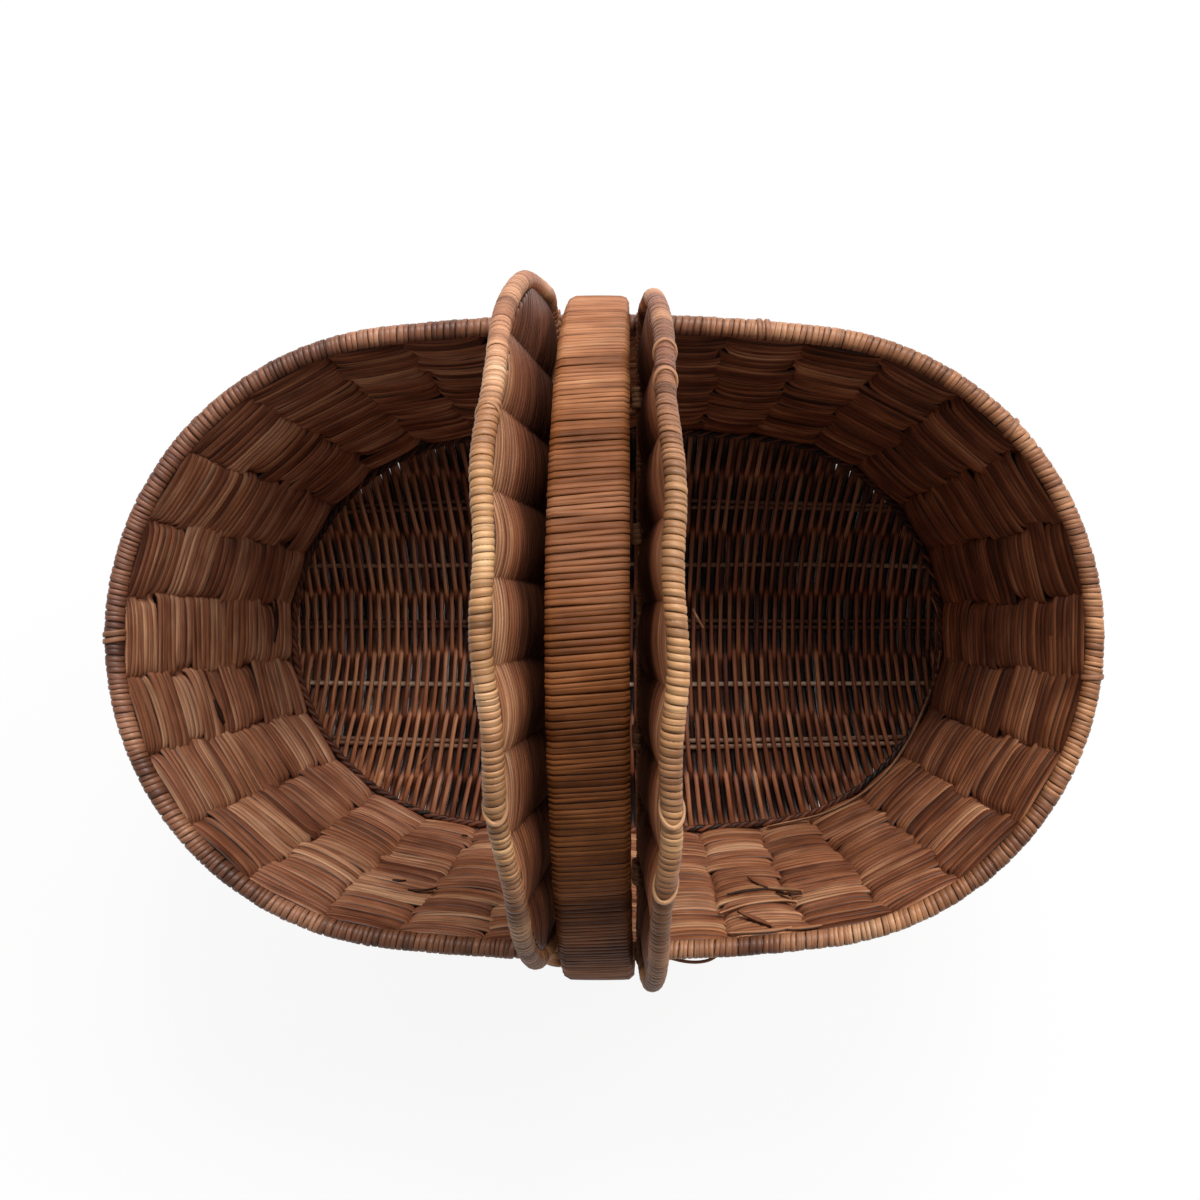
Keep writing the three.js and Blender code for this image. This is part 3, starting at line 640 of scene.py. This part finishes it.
def floor_weave():
    sticks = Strands()
    places = []
    pair = 2 * FLOOR_STICK_RADIUS + GAP
    for row, count in enumerate(FLOOR_STICK_ROWS):
        for i in range(count):
            places.append((row - 2) * FLOOR_ROW_SPACING + FLOOR_ROW_SHIFT + (i - (count - 1) / 2) * pair)
    places = np.array(places)
    reach = oval_reach(floor_arcs, np.abs(places) + FLOOR_STICK_RADIUS, FLOOR_HOOP_RADIUS + GAP)
    ends = np.stack([reach, places, np.full_like(places, FLOOR_LEVEL)], -1)
    tones = np.repeat(FLOOR_STICK_TONES, FLOOR_STICK_ROWS)[:, None] + 0.12 * drift(len(places), 60, 9)
    bow = -FLOOR_STICK_BOW * places / np.max(places)
    rods(sticks, ends * (-1, 1, 1), ends, FLOOR_STICK_RADIUS, samples=60, bend=0.0006, tone=tones, bow=bow)
    sticks.build("base_sticks", "basket", "base_stick", stick_rattan, numbered("base_stick", len(places)))

    inset = FLOOR_HOOP_RADIUS + 2 * GAP
    span = 2 * (FLOOR_HALF[0] - inset) - BASE_PITCH
    count = int(span / BASE_PITCH)
    x = (np.arange(count) - (count - 1) / 2) * span / count
    x = x + 0.00025 * rng.standard_normal(count)
    spread = lambda y: 1 + BASE_FAN * y**2
    ys = np.linspace(0, FLOOR_HALF[1] - inset, 900)
    inside = np.abs(x)[:, None] * spread(ys) <= oval_reach(floor_arcs, ys, inset)
    reach = ys[np.maximum(np.sum(inside, 1) - 1, 8)]
    samples = 100
    y = reach[:, None] * np.linspace(-1, 1, samples)
    sign = np.where(np.arange(count) % 2, -1, 1)[:, None]
    wave = np.cos(math.pi * ((y - FLOOR_ROW_SHIFT) / FLOOR_ROW_SPACING + 0.07 * drift(count, samples, 9)))
    amplitude = FLOOR_STICK_RADIUS + BASE_STRAND_THICK + 0.0004
    fade = rise(reach[:, None] - np.abs(y), 0, BASE_STRAND_END)
    lift = sign * np.sign(wave) * np.abs(wave) ** 0.6 * amplitude * fade
    sway = 0.0004 * drift(count, samples, 9)
    centres = np.stack([x[:, None] * spread(y) + sway, y, FLOOR_LEVEL + lift], -1)
    under = np.clip(0.5 - 0.5 * lift / amplitude, 0, 1)
    width = BASE_STRAND_HALF * spread(y) * (1 + 0.5 * under) * (1 + 0.05 * drift(count, samples, 8))
    # Darker towards +X: painted shade. The rest is random tone.
    tone = 0.7 - 0.8 * centres[..., 0] + 0.1 * rng.standard_normal((count, 1)) + 0.12 * drift(count, samples, 5)
    hue = 0.5 + 0.4 * drift(count, samples, 3)
    for i, rows in enumerate(np.array_split(np.arange(count), BASE_PIECES)):
        strands = Strands()
        strands.sweep(
            centres[rows], UP, width[rows], BASE_STRAND_THICK, sides=10, tone=tone[rows], hue=hue[rows],
            square=0.95, lift=lift[rows] / amplitude, recess=0.55,
        )
        strands.build(f"base_strands_{i + 1}", "basket", "base_weave", base_rattan, ["base_weave"])


floor_weave()


def plait(height, offset, turns, size, radius, turn_samples, number, tone_middle):
    """Strands plaited or, if two, twisted round the floor: size is how far they swing across and up."""
    strands = Strands()
    samples = turns * turn_samples
    share = np.arange(samples) / samples
    points, out = oval(floor_arcs, share)
    for i in range(number):
        angle = 2 * math.pi * (share * turns + i / number)
        if number == 2:
            across, up = np.cos(angle), np.sin(angle)
        else:
            across, up = np.sin(angle), np.sin(2 * angle)
        centre = points + out * (offset + size[0] * across)[:, None] + UP * (height + size[1] * up)[:, None]
        along = unit(np.roll(centre, -1, 0) - np.roll(centre, 1, 0))
        level = unit(np.cross(UP, along))
        above = np.cross(along, level)
        tone = tone_middle + 0.3 * drift(1, samples, 30, True)
        uneven = 1 + 0.15 * drift(1, samples, 50, True)
        hue = 0.5 + 0.4 * drift(1, samples, 12, True)
        strands.add(
            centre[None], level[None], above[None], radius[0] * uneven, radius[1] * uneven,
            closed=True, tone=tone, hue=hue,
        )
    return strands


foot = plait(
    FOOT_HEIGHT / 2, FOOT_WIDTH / 2 - FLOOR_HOOP_RADIUS, FOOT_TURNS, (0.0031, 0.0011), (0.0021, 0.0019),
    turn_samples=12, number=3, tone_middle=0.45,
)
foot.build("foot_plait", "basket", "wall_weave", wall_rattan, ["foot_border"])
# The inner border's low tone and the darker base_rattan are painted shade, in the corner between floor and wall.
border = plait(
    WALL_BOTTOM + 0.0004, -FLOOR_HOOP_RADIUS - 0.0012, BORDER_TURNS, (0.0010, 0.0009), (0.0012, 0.0010),
    turn_samples=9, number=2, tone_middle=0.2,
)
border.build("inner_border", "basket", "base_weave", base_rattan)

# Cane wound round hoops, bars and the handle


def uneven_turns(turns, samples, jitter, closed):
    """The number of turns passed at each sample, the share of the way there, and the turn's relative width."""
    turn = np.arange(turns * samples) / samples
    loose = 1 + jitter * rng.uniform(-1, 1, turns)
    knots = np.concatenate([[0], np.cumsum(loose)])
    share = np.interp(turn, np.arange(turns + 1), knots / knots[-1])
    return turn, share, np.interp(turn, np.arange(turns) + 0.5, loose, period=turns if closed else None)


def wind(
    strands, path, turns, samples, profile, closed, tone, hue, half_width,
    sway=0.0003, jitter=0.18, slant=0.0, swell=0.05,
):
    """Winds cane: path gives points, along, across and up at shares; profile gives the outline there.

    sway and jitter make the turns uneven, slant tilts them, and swell lifts some of them."""
    count = turns * samples
    turn, share, wide = uneven_turns(turns, samples, jitter, closed)
    points, along, across, up = path(share)
    a, b, normal_a, normal_b = profile(2 * math.pi * turn, share)
    bulge = 1 + swell * np.interp(turn, np.arange(turns), rng.uniform(-1, 1, turns))
    centres = points + across * (a * bulge)[:, None] + up * (b * bulge)[:, None]
    centres += along * (sway * drift(1, count, turns * 3, closed)[0] + slant * a)[:, None]
    side, out = frames(centres, unit(across * normal_a[:, None] + up * normal_b[:, None]))
    strands.add(
        centres[None], side[None], out[None], (half_width * OVERLAP * wide)[None], CANE_HALF,
        sides=7, closed=closed, tone=tone(turn, turns), hue=hue(share), square=0.75,
    )


def round_profile(radius):
    def outline(angle, share):
        a, b = np.cos(angle), np.sin(angle)
        return (radius - CANE_HALF) * a, (radius - CANE_HALF) * b, a, b

    return outline


def turn_tone(middle, spread, knots):
    """Tones that change slowly along a winding and, less, from turn to turn."""

    def tones(turn, turns):
        slow = drift(1, len(turn), knots)[0]
        each = np.interp(turn, np.arange(turns), rng.uniform(-1, 1, turns))
        return (middle + spread * slow + 0.6 * spread * each)[None]

    return tones


def knots_round(points, along, across, up, radius, askew):
    """Closed loops of cane tied round a path at a number of points, and their outward directions."""
    angle = 2 * math.pi * np.arange(40) / 40
    out = across[:, None] * np.cos(angle)[:, None] + up[:, None] * np.sin(angle)[:, None]
    shift = np.reshape(askew, (-1, 1)) * radius * np.cos(angle)
    return points[:, None] + radius * out + along[:, None] * shift[..., None], out


def rim():
    def path(share):
        points, out = oval(rim_arcs, share)
        along = np.cross(UP, out)
        return points + RIM_HEIGHT * UP, along, out, np.broadcast_to(UP, out.shape)

    def hue(share):
        side = np.cos(2 * math.pi * share)
        return np.clip(0.35 + 0.4 * side + 0.3 * drift(1, len(share), 24, True), 0, 1)

    strands = Strands()
    hoop(strands, rim_arcs, RIM_HEIGHT, RIM_RADIUS - CORE_INSET, samples=360, tone=CORE_TONE)
    length = 2 * math.pi * math.sqrt((RIM_HALF[0] ** 2 + RIM_HALF[1] ** 2) / 2)
    wind(
        strands, path, RIM_TURNS, 14, round_profile(RIM_RADIUS), True, turn_tone(0.37, 0.28, 40), hue,
        0.5 * length / RIM_TURNS, sway=0.0004, jitter=0.28,
    )
    points, along, out, up = path(np.array(RIM_KNOTS))
    centres, outward = knots_round(points, along, out, up, RIM_RADIUS, np.full(len(points), 0.15))
    strands.sweep(centres, outward, 0.0014, 0.0008, closed=True, tone=0.4, hue=0.3, square=0.9)
    strands.build("rim_winding", "basket", "rim_cane", rim_cane, ["rim_hoop"])


rim()


def leg_y(height):
    """How far out the middle of the handle's leg is, which is let into the wall."""
    points, *_ = wall(np.array([0.25]), np.array([height]))
    return points[0, 1] + STAKE_HALF + 2 * GAP + HANDLE_HALF - HANDLE_SEAT


SHOULDER_HEIGHT = RIM_HEIGHT + HANDLE_SHOULDER
ARCH_HALF_SPAN = leg_y(RIM_HEIGHT)
ARCH_HEIGHT = HANDLE_RISE - HANDLE_SHOULDER
LEG_FOOT = RIM_HEIGHT - HANDLE_LEG


def handle_line(samples):
    """The handle's middle line from its foot at +Y to its foot at -Y, evenly spaced."""
    angle = np.linspace(0, math.pi, 400)
    fullness = np.where(angle < math.pi / 2, 1.0, HANDLE_DRAW)
    across = np.sign(np.cos(angle)) * np.abs(np.cos(angle)) ** fullness
    arch = np.stack([0 * angle, ARCH_HALF_SPAN * across, SHOULDER_HEIGHT + ARCH_HEIGHT * np.sin(angle)], -1)
    end_width = np.where(angle < math.pi / 2, *HANDLE_FOOT_WIDTHS)
    width = end_width + (HANDLE_TOP_WIDTH - end_width) * np.sin(angle)
    part = np.linspace(0, 1, 60, endpoint=False)[:, None]
    foot = np.array([0, leg_y(LEG_FOOT), LEG_FOOT])
    leg = foot + (arch[0] - foot) * part
    line = np.concatenate([leg, arch, (leg * (1, -1, 1))[::-1]]) + HANDLE_PLACE * ALONG_X
    width = np.concatenate([np.full(60, HANDLE_FOOT_WIDTHS[0]), width, np.full(60, HANDLE_FOOT_WIDTHS[1])])
    reach = np.concatenate([[0], np.cumsum(np.linalg.norm(np.diff(line, axis=0), axis=1))])
    even = np.linspace(0, reach[-1], samples)
    line = between(even, reach, line)
    along = unit(np.gradient(line, axis=0))
    for _ in range(6):  # smoothed, so that the turns of cane don't fold at the shoulders
        padded = np.pad(along, ((1, 1), (0, 0)))
        along = unit(padded[:-2] + along + padded[2:])
    return line, along, np.interp(even, reach, width), reach[-1]


def handle():
    line, along, width, length = handle_line(HANDLE_SAMPLES)
    out = unit(np.cross(ALONG_X, along))
    out *= np.sign(out[HANDLE_SAMPLES // 2, 2])
    strands = Strands()
    across = np.broadcast_to(ALONG_X, line.shape)
    strands.add(
        line[None], across[None], out[None], (width / 2 - CANE_HALF)[None], HANDLE_HALF - 1.3 * CANE_HALF,
        sides=12, tone=CORE_TONE, square=0.35,
    )
    places = np.linspace(0, 1, HANDLE_SAMPLES)

    def path(share):
        points, forward, outward = (between(share, places, values) for values in (line, along, out))
        return points, unit(forward), np.broadcast_to(ALONG_X, points.shape), unit(outward)

    def outline(angle, share):
        half = np.interp(share, places, width) / 2 - HANDLE_HALF
        radius = HANDLE_HALF - CANE_HALF
        a, b, normal_a, normal_b = strip_outline(angle / (2 * math.pi) % 1, 2 * half, radius)
        a = a - half
        swell = HANDLE_SWELL * (1 - (a / (half + radius)) ** 2)
        return a, b + swell * np.sign(normal_b), normal_a, normal_b

    def tones(turn, turns):
        part = turn / turns
        # Painted shade: the -Y half, which faces away from the light, is darker; near the -Y end it is 0.04
        # lighter again.
        return turn_tone(0.5, 0.2, 60)(turn, turns) - 0.3 * rise(part, 0.4, 0.6) + 0.04 * rise(part, 0.7, 0.85)

    def hue(share):
        return 0.5 + 0.5 * rise(share, 0.4, 0.6) + 0.4 * drift(1, len(share), 14)

    turns = int(length / HANDLE_CANE_PITCH)
    wind(
        strands, path, turns, 26, outline, False, tones, hue, 0.5 * length / turns,
        sway=0.0003, jitter=0.22, slant=-0.12, swell=0.012,
    )
    nodes = ["handle_wrap"] + numbered("handle_rod", 5)
    strands.build("handle_winding", "basket", "handle_cane", handle_cane, nodes)


handle()


def hinge_bars():
    half_length = RIM_HALF[1] + HINGE_BAR_OVERHANG
    turns = int(2 * half_length / BAR_CANE_PITCH)
    for name, hinge_x in HINGE_PLACES.items():
        strands = Strands()
        end = np.array([hinge_x, half_length, HINGE_HEIGHT])
        start = end * (1, -1, 1)
        rods(strands, [start], [end], HINGE_BAR_RADIUS - CORE_INSET, samples=80, bend=0.0, tone=0.1)

        def path(share):
            fill = np.ones((len(share), 1))
            return start + (end - start) * share[:, None], ALONG_Y * fill, ALONG_X * fill, UP * fill

        wind(
            strands, path, turns, 12, round_profile(HINGE_BAR_RADIUS), False, turn_tone(0.4, 0.2, 14),
            lambda share: 0.2, half_length / turns,
        )
        strands.build(f"hinge_bar_winding_{name}", "basket", "lid_cane", lid_cane, [f"hinge_bar_{name}"])


hinge_bars()

# Lids, drawn upright on their hinge axis: x outwards, y along the axis, z up the lid


def lid_world(points, name):
    """Puts a lid's points in place, with its twist, bow and lean, on its own side of the handle."""
    x, y, z = np.moveaxis(points, -1, 0)
    hinge_x = HINGE_PLACES[name]
    side = math.copysign(1, hinge_x)
    across = y / LID_HALF_WIDTH
    waves = LID_WAVE * np.cos(math.pi * y / LID_RIB_SPACING + 0.6) * rise(z, 0, LID_WAVE_HEIGHT) ** 2
    bend = LID_TWISTS[name] * across + LID_BOWS[name] * (1 - across**2) + waves
    x = side * (x + bend * z / (RIM_HALF[0] - abs(hinge_x)))
    lean = side * LID_LEANS[name]
    turned = np.stack([x * math.cos(lean) + z * math.sin(lean), y, z * math.cos(lean) - x * math.sin(lean)], -1)
    return turned + (hinge_x, LID_SLIDES[name], HINGE_HEIGHT)


def lid_outline(hinge_x, inset, samples):
    """The lid's closed outline at even steps, as points and outward normals in the lid's plane."""
    end_radius, end_centre, side_radius, side_centre, turn = lid_arcs
    corner_x = hinge_x + SPINE_OFFSET + LID_CORNER_RADIUS
    corner_y = math.sqrt((side_radius - LID_CORNER_RADIUS) ** 2 - corner_x**2) - side_centre
    corner_turn = math.atan2(corner_y + side_centre, corner_x)
    pieces = [
        (corner_x, corner_y, LID_CORNER_RADIUS, math.pi, corner_turn),
        (0, -side_centre, side_radius, corner_turn, turn),
        (end_centre, 0, end_radius, turn, 0),
    ]
    half = []
    for x, y, radius, start, end in pieces:
        angle = np.linspace(start, end, 200)
        sine, cosine = np.sin(angle), np.cos(angle)
        reach = radius - inset
        half.append(np.stack([y + reach * sine, x + reach * cosine - hinge_x, sine, cosine], -1))
    half = np.concatenate(half)
    whole = np.concatenate([half, (half * (-1, 1, -1, 1))[::-1]])
    whole = np.concatenate([whole, whole[:1]])
    reach = np.concatenate([[0], np.cumsum(np.linalg.norm(np.diff(whole[:, :2], axis=0), axis=1))])
    even = np.arange(samples) * reach[-1] / samples
    found = between(even, reach, whole)
    zero = np.zeros((samples, 1))
    return np.hstack([zero, found[:, :2]]), unit(np.hstack([zero, found[:, 2:]])), reach[-1]


def lid(name):
    body = f"{name}_lid"
    hinge_x = abs(HINGE_PLACES[name])
    side = math.copysign(1, HINGE_PLACES[name])

    def carried(points, directions):
        placed = lid_world(points, name)
        return placed, unit(lid_world(points + 0.001 * directions, name) - placed)

    # Hoop: a core wound with pale cane
    strands = Strands()
    samples = 1600
    line, normal, length = lid_outline(hinge_x, 0, samples)
    core, out = carried(line[None], normal[None])
    _, flat = carried(line[None], ALONG_X)
    thickness = LID_HOOP_RADIUS - CORE_INSET
    strands.add(core, out, flat, thickness, thickness, sides=12, closed=True, tone=CORE_TONE, square=1.0)

    turns = int(length / LID_CANE_PITCH)
    turn, share, wide = uneven_turns(turns, 14, 0.25, True)
    count = len(turn)
    spots = np.arange(samples) / samples
    points, out = between(share, spots, line, period=1), unit(between(share, spots, normal, period=1))
    angle = 2 * math.pi * turn[:, None]
    radial = out * np.cos(angle) + ALONG_X * np.sin(angle)
    bulge = 1 + 0.06 * drift(1, count, 36, True) + 0.04 * drift(1, count, turns, True)
    size = (LID_HOOP_RADIUS - CANE_HALF) * bulge[0][:, None]
    centres, outward = carried((points + size * radial)[None], radial)
    across, outward = frames(centres, outward, True)
    along = np.cross(outward, across)
    centres = centres + along * (0.0004 * drift(1, count, turns * 3, True))[..., None]
    half = OVERLAP * 0.5 * length / turns * wide[None]
    place = points[:, 1] / LID_HALF_WIDTH
    hue = 1 - rise(place, 0.35, 0.75) - 0.4 * rise(-place, 0.5, 0.8) + 0.35 * drift(1, count, 40, True)
    middle, low_end = LID_HOOP_TONES[name]
    tone = turn_tone(middle, 0.24, 40)(turn, turns)
    # Painted light and shade: the -Y end darker and the +Y end lighter, as the light falls from +Y.
    tone = tone - low_end * rise(-place, 0.45, 0.75) + 0.08 * rise(place, 0.4, 0.7)
    strands.add(
        centres, across, outward, half, CANE_HALF, sides=7, closed=True, tone=tone, hue=hue, square=0.75,
    )

    # Knots on the hoop's top
    crest = np.where(line[:, 2] > 0.5 * RIM_HALF[0])[0]
    at = [crest[np.argmin(np.abs(line[crest, 1] - y))] for y in LID_KNOTS[name]]
    askew = [1.2 if y < -0.05 else -0.7 for y in LID_KNOTS[name]]
    flat = np.broadcast_to(ALONG_X, (len(at), 3))
    ring = knots_round(line[at], np.cross(ALONG_X, normal[at]), normal[at], flat, LID_HOOP_RADIUS, askew)
    centres, outward = carried(*ring)
    tone = np.interp(LID_KNOTS[name], (-0.08, 0.06), (0.62, 0.42))[:, None]
    strands.sweep(centres, outward, 0.0010, 0.0006, closed=True, tone=tone, hue=tone, square=0.9)
    strands.build(f"{body}_hoop_winding", body, "lid_cane", lid_cane, [f"{body}_hoop"])

    # Ribs
    ribs = Strands()
    inset = LID_HOOP_RADIUS + GAP
    bottom, full = SPINE_OFFSET + inset, RIM_HALF[0] - hinge_x - inset
    rib_y = (np.arange(LID_RIB_COUNT) - (LID_RIB_COUNT - 1) / 2) * LID_RIB_SPACING
    top = oval_reach(lid_arcs, np.abs(rib_y) + LID_RIB_RADIUS, inset) - hinge_x
    part = np.linspace(0, 1, 40)[None, :, None]
    low = np.stack([0 * rib_y, rib_y, bottom + 0 * rib_y], -1)[:, None]
    high = np.stack([0 * rib_y, rib_y, top], -1)[:, None]
    centres = lid_world(low + (high - low) * part, name)
    ribs.sweep(centres, side * ALONG_X, LID_RIB_RADIUS, LID_RIB_RADIUS, tone=0.1, square=1.0)
    ribs.build(f"{body}_ribs", body, "bare_rattan", base_rattan, numbered(f"{body}_rib", LID_RIB_COUNT))

    # Weave: rows along the hinge, over one rib and under the next
    weave = Strands()
    rows = int((full - bottom) / LID_PITCH)
    z = bottom + (np.arange(rows) + 0.5) * (full - bottom) / rows
    outline, _, _ = lid_outline(hinge_x, inset, 4000)
    outline = outline[outline[:, 1] > 0]
    order = np.argsort(outline[:, 2])
    reach = np.interp(z, outline[order, 2], outline[order, 1]) + LID_STRAND_END
    samples = 110
    y = reach[:, None] * np.linspace(-1, 1, samples)
    swing = np.cos(math.pi * y / LID_RIB_SPACING) * np.where(np.arange(rows) % 2, -1, 1)[:, None]
    lift = np.sign(swing) * np.abs(swing) ** 0.8
    half = LID_PITCH * (0.62 + 0.38 * np.abs(swing) ** 0.6) * (1 + 0.09 * rng.standard_normal((rows, 1)))
    wander = 0.0004 * drift(rows, samples, 8)
    centres = np.stack([lift * (LID_RIB_RADIUS + LID_STRAND_THICK), y, z[:, None] + wander], -1)
    centres, face = carried(centres, ALONG_X)
    high_up = ((z - bottom) / (full - bottom))[:, None]
    tone = 0.4 + 0.05 * rng.standard_normal((rows, 1)) + 0.07 * drift(rows, samples, 8)
    # Painted light and shade: the upper rows are lighter, and the lower rows' inner side, which faces the handle
    # when the lid stands up, is darker.
    tone = tone + 0.44 * rise(high_up, 0.5, 0.9)
    shade = 0.14 * (1 - rise(high_up, 0.45, 0.75))
    hue = 0.4 + 0.4 * drift(rows, samples, 5)
    weave.sweep(
        centres, face, half, LID_STRAND_THICK, tone=tone, hue=hue, square=0.8,
        groove=rng.uniform(0, 0.3, (rows, 1)), lift=lift, recess=0.25, back=shade[..., None],
    )
    weave.build(f"{body}_strands", body, "lid_weave", wall_rattan, [f"{body}_weave"])

    # Loops of cane that tie the lid to its bar
    loops = Strands()
    inner = HINGE_BAR_RADIUS + LOOP_CLEARANCE + 0.5 * LOOP_THICKNESS
    turn = np.arange(LOOP_TURNS * 40 + 1) / 40
    z, x, normal_z, normal_x = strip_outline(turn % 1, SPINE_OFFSET, inner)
    for place in LOOP_PLACES:
        y = place * LID_RIB_SPACING + (turn / LOOP_TURNS - 0.5) * (LOOP_WIDTH - 0.003)
        normals = np.stack([normal_x, 0 * turn, normal_z], -1)
        centres, outward = carried(np.stack([x, y, z], -1)[None], normals)
        tone = 0.5 + 0.2 * drift(1, len(turn), 6)
        loops.sweep(centres, outward, 0.0015, 0.5 * LOOP_THICKNESS, tone=tone, square=0.75)
    loops.build(f"{body}_loops", body, "lid_cane", lid_cane, numbered(f"{body}_loop", len(LOOP_PLACES)))


for lid_name in HINGE_PLACES:
    lid(lid_name)

# Loose and broken canes, and dark strips of painted shadow, each from pixel to pixel of the photograph


def seen_at(points):
    """Pixels at which the camera sees points."""
    scale = LENS_PIXELS / (CAMERA[2] - points[..., 2:])
    return NADIR_PIXEL + scale * (points[..., :2] - CAMERA[:2]) * (1, -1)


def under_pixel(pixel, height):
    """The point at a height that the camera sees at a pixel."""
    scale = LENS_PIXELS / (CAMERA[2] - height)
    place = CAMERA[:2] + np.subtract(pixel, NADIR_PIXEL) * (1, -1) / scale
    return np.append(place, height)


def smooth_line(knots):
    """A smooth line of 24 points through knots."""
    knots = np.asarray(knots)
    place = np.linspace(0, len(knots) - 1, 24)
    start = np.minimum(place.astype(int), len(knots) - 2)
    part = (place - start)[:, None]
    slope = np.gradient(knots, axis=0)
    a, b = knots[start], knots[start + 1]
    bend = part**2 * (3 - 2 * part)
    return a + (b - a) * bend + slope[start] * part * (1 - part) ** 2 - slope[start + 1] * part**2 * (1 - part)


def loose_canes_and_shadows():
    share, height = np.meshgrid(np.arange(1600) / 1600, np.linspace(WALL_BOTTOM, WALL_TOP, 200))
    wall_points, wall_out, _ = wall(share.ravel(), height.ravel())
    inner = wall_points - wall_out * (WALL_SWING + 0.9 * WALL_STRAND_HALF)
    pixels = seen_at(inner)
    strands = Strands()
    for tone, hue, half, thick, lift, spots in WALL_STRAYS_AND_SHADOWS:
        nearest = [np.argmin(np.sum((pixels - spot) ** 2, 1)) for spot in spots]
        lifts = np.linspace(*lift, len(spots))[:, None]
        line = smooth_line(inner[nearest] - wall_out[nearest] * lifts)[None]
        taper = np.clip(1.3 - np.abs(np.linspace(-1, 1, line.shape[1])), 0.4, 1)
        strands.sweep(line, -smooth_line(wall_out[nearest]), half * taper, thick, tone=tone, hue=hue)
    strands.build("stray_canes_and_shadows", "basket", "wall_weave", wall_rattan)
    strands = Strands()
    for tone, half, spots in FREE_STRAYS:
        line = smooth_line([under_pixel(spot[:2], spot[2]) for spot in spots])[None]
        strands.sweep(line, UP, half, 0.8 * half, sides=6, tone=tone)
    strands.build("free_canes", "basket", "wall_weave", wall_rattan)


loose_canes_and_shadows()

# Floor, light and camera


def plain_floor():
    mesh = bpy.data.meshes.new("studio_floor")
    corners = [(x * FLOOR_REACH, y * FLOOR_REACH, 0) for x, y in ((-1, -1), (1, -1), (1, 1), (-1, 1))]
    mesh.from_pydata(corners, [], [(0, 1, 2, 3)])
    floor = bpy.data.objects.new("studio_floor", mesh)
    bpy.context.scene.collection.objects.link(floor)
    material = bpy.data.materials.new("studio_white")
    material.use_nodes = True
    tree = material.node_tree
    shader = tree.nodes["Principled BSDF"]
    shader.inputs["Base Color"].default_value = (0.9, 0.9, 0.9, 1)
    shader.inputs["Roughness"].default_value = 0.9
    seen = node(tree, "ShaderNodeLightPath").outputs["Is Camera Ray"]
    glow = node(tree, "ShaderNodeEmission", {"Color": (1, 1, 1, 1), "Strength": 1.0})
    place = node(tree, "ShaderNodeTexCoord").outputs["Object"]
    scale = (1 / FLOOR_HALF[0], 1 / FLOOR_HALF[1], 0)
    scaled = node(tree, "ShaderNodeVectorMath", {0: place, 1: scale}, operation="MULTIPLY").outputs[0]
    away = node(tree, "ShaderNodeVectorMath", {0: scaled}, operation="LENGTH").outputs["Value"]
    open_floor = map_range(tree, away, 1.03, 1.07)
    far_floor = map_range(tree, away, 6.0, 20.0, 0.9, 1.0)
    seen = maths(tree, "MULTIPLY", maths(tree, "MULTIPLY", seen, far_floor), open_floor)
    blended = node(tree, "ShaderNodeMixShader", {0: seen, 1: shader.outputs[0], 2: glow.outputs[0]})
    tree.links.new(blended.outputs[0], tree.nodes["Material Output"].inputs["Surface"])
    mesh.materials.append(material)


def lamp(name, place, power):
    data = bpy.data.lights.new(name, "AREA")
    data.shape, data.size, data.energy = "DISK", LAMP_SIZE, power
    made = bpy.data.objects.new(name, data)
    made.location = place
    aim = Vector(LAMP_TARGET) - Vector(place)
    made.rotation_euler = aim.to_track_quat("-Z", "Y").to_euler()
    bpy.context.scene.collection.objects.link(made)


plain_floor()
for lamp_name, (lamp_place, lamp_power) in LAMPS.items():
    lamp(lamp_name, lamp_place, lamp_power)

world = bpy.data.worlds.new("studio")
bpy.context.scene.world = world
world.use_nodes = True
sky = world.node_tree
seen = node(sky, "ShaderNodeLightPath").outputs["Is Camera Ray"]
strength = map_range(sky, seen, 0.0, 1.0, WORLD_LIGHT, 1.0)
sky.nodes["Background"].inputs["Color"].default_value = (1, 1, 1, 1)
sky.links.new(strength, sky.nodes["Background"].inputs["Strength"])

camera_data = bpy.data.cameras.new("camera")
camera_data.sensor_width = SENSOR_WIDTH
camera_data.lens = LENS_PIXELS * SENSOR_WIDTH / PHOTO_SIZE
camera_data.shift_x = (PHOTO_SIZE / 2 - NADIR_PIXEL[0]) / PHOTO_SIZE
camera_data.shift_y = (NADIR_PIXEL[1] - PHOTO_SIZE / 2) / PHOTO_SIZE
camera_data.clip_start, camera_data.clip_end = 0.05, 20
camera = bpy.data.objects.new("camera", camera_data)
camera.location = CAMERA
bpy.context.scene.collection.objects.link(camera)
bpy.context.scene.camera = camera

bpy.context.scene.view_settings.view_transform = "Standard"
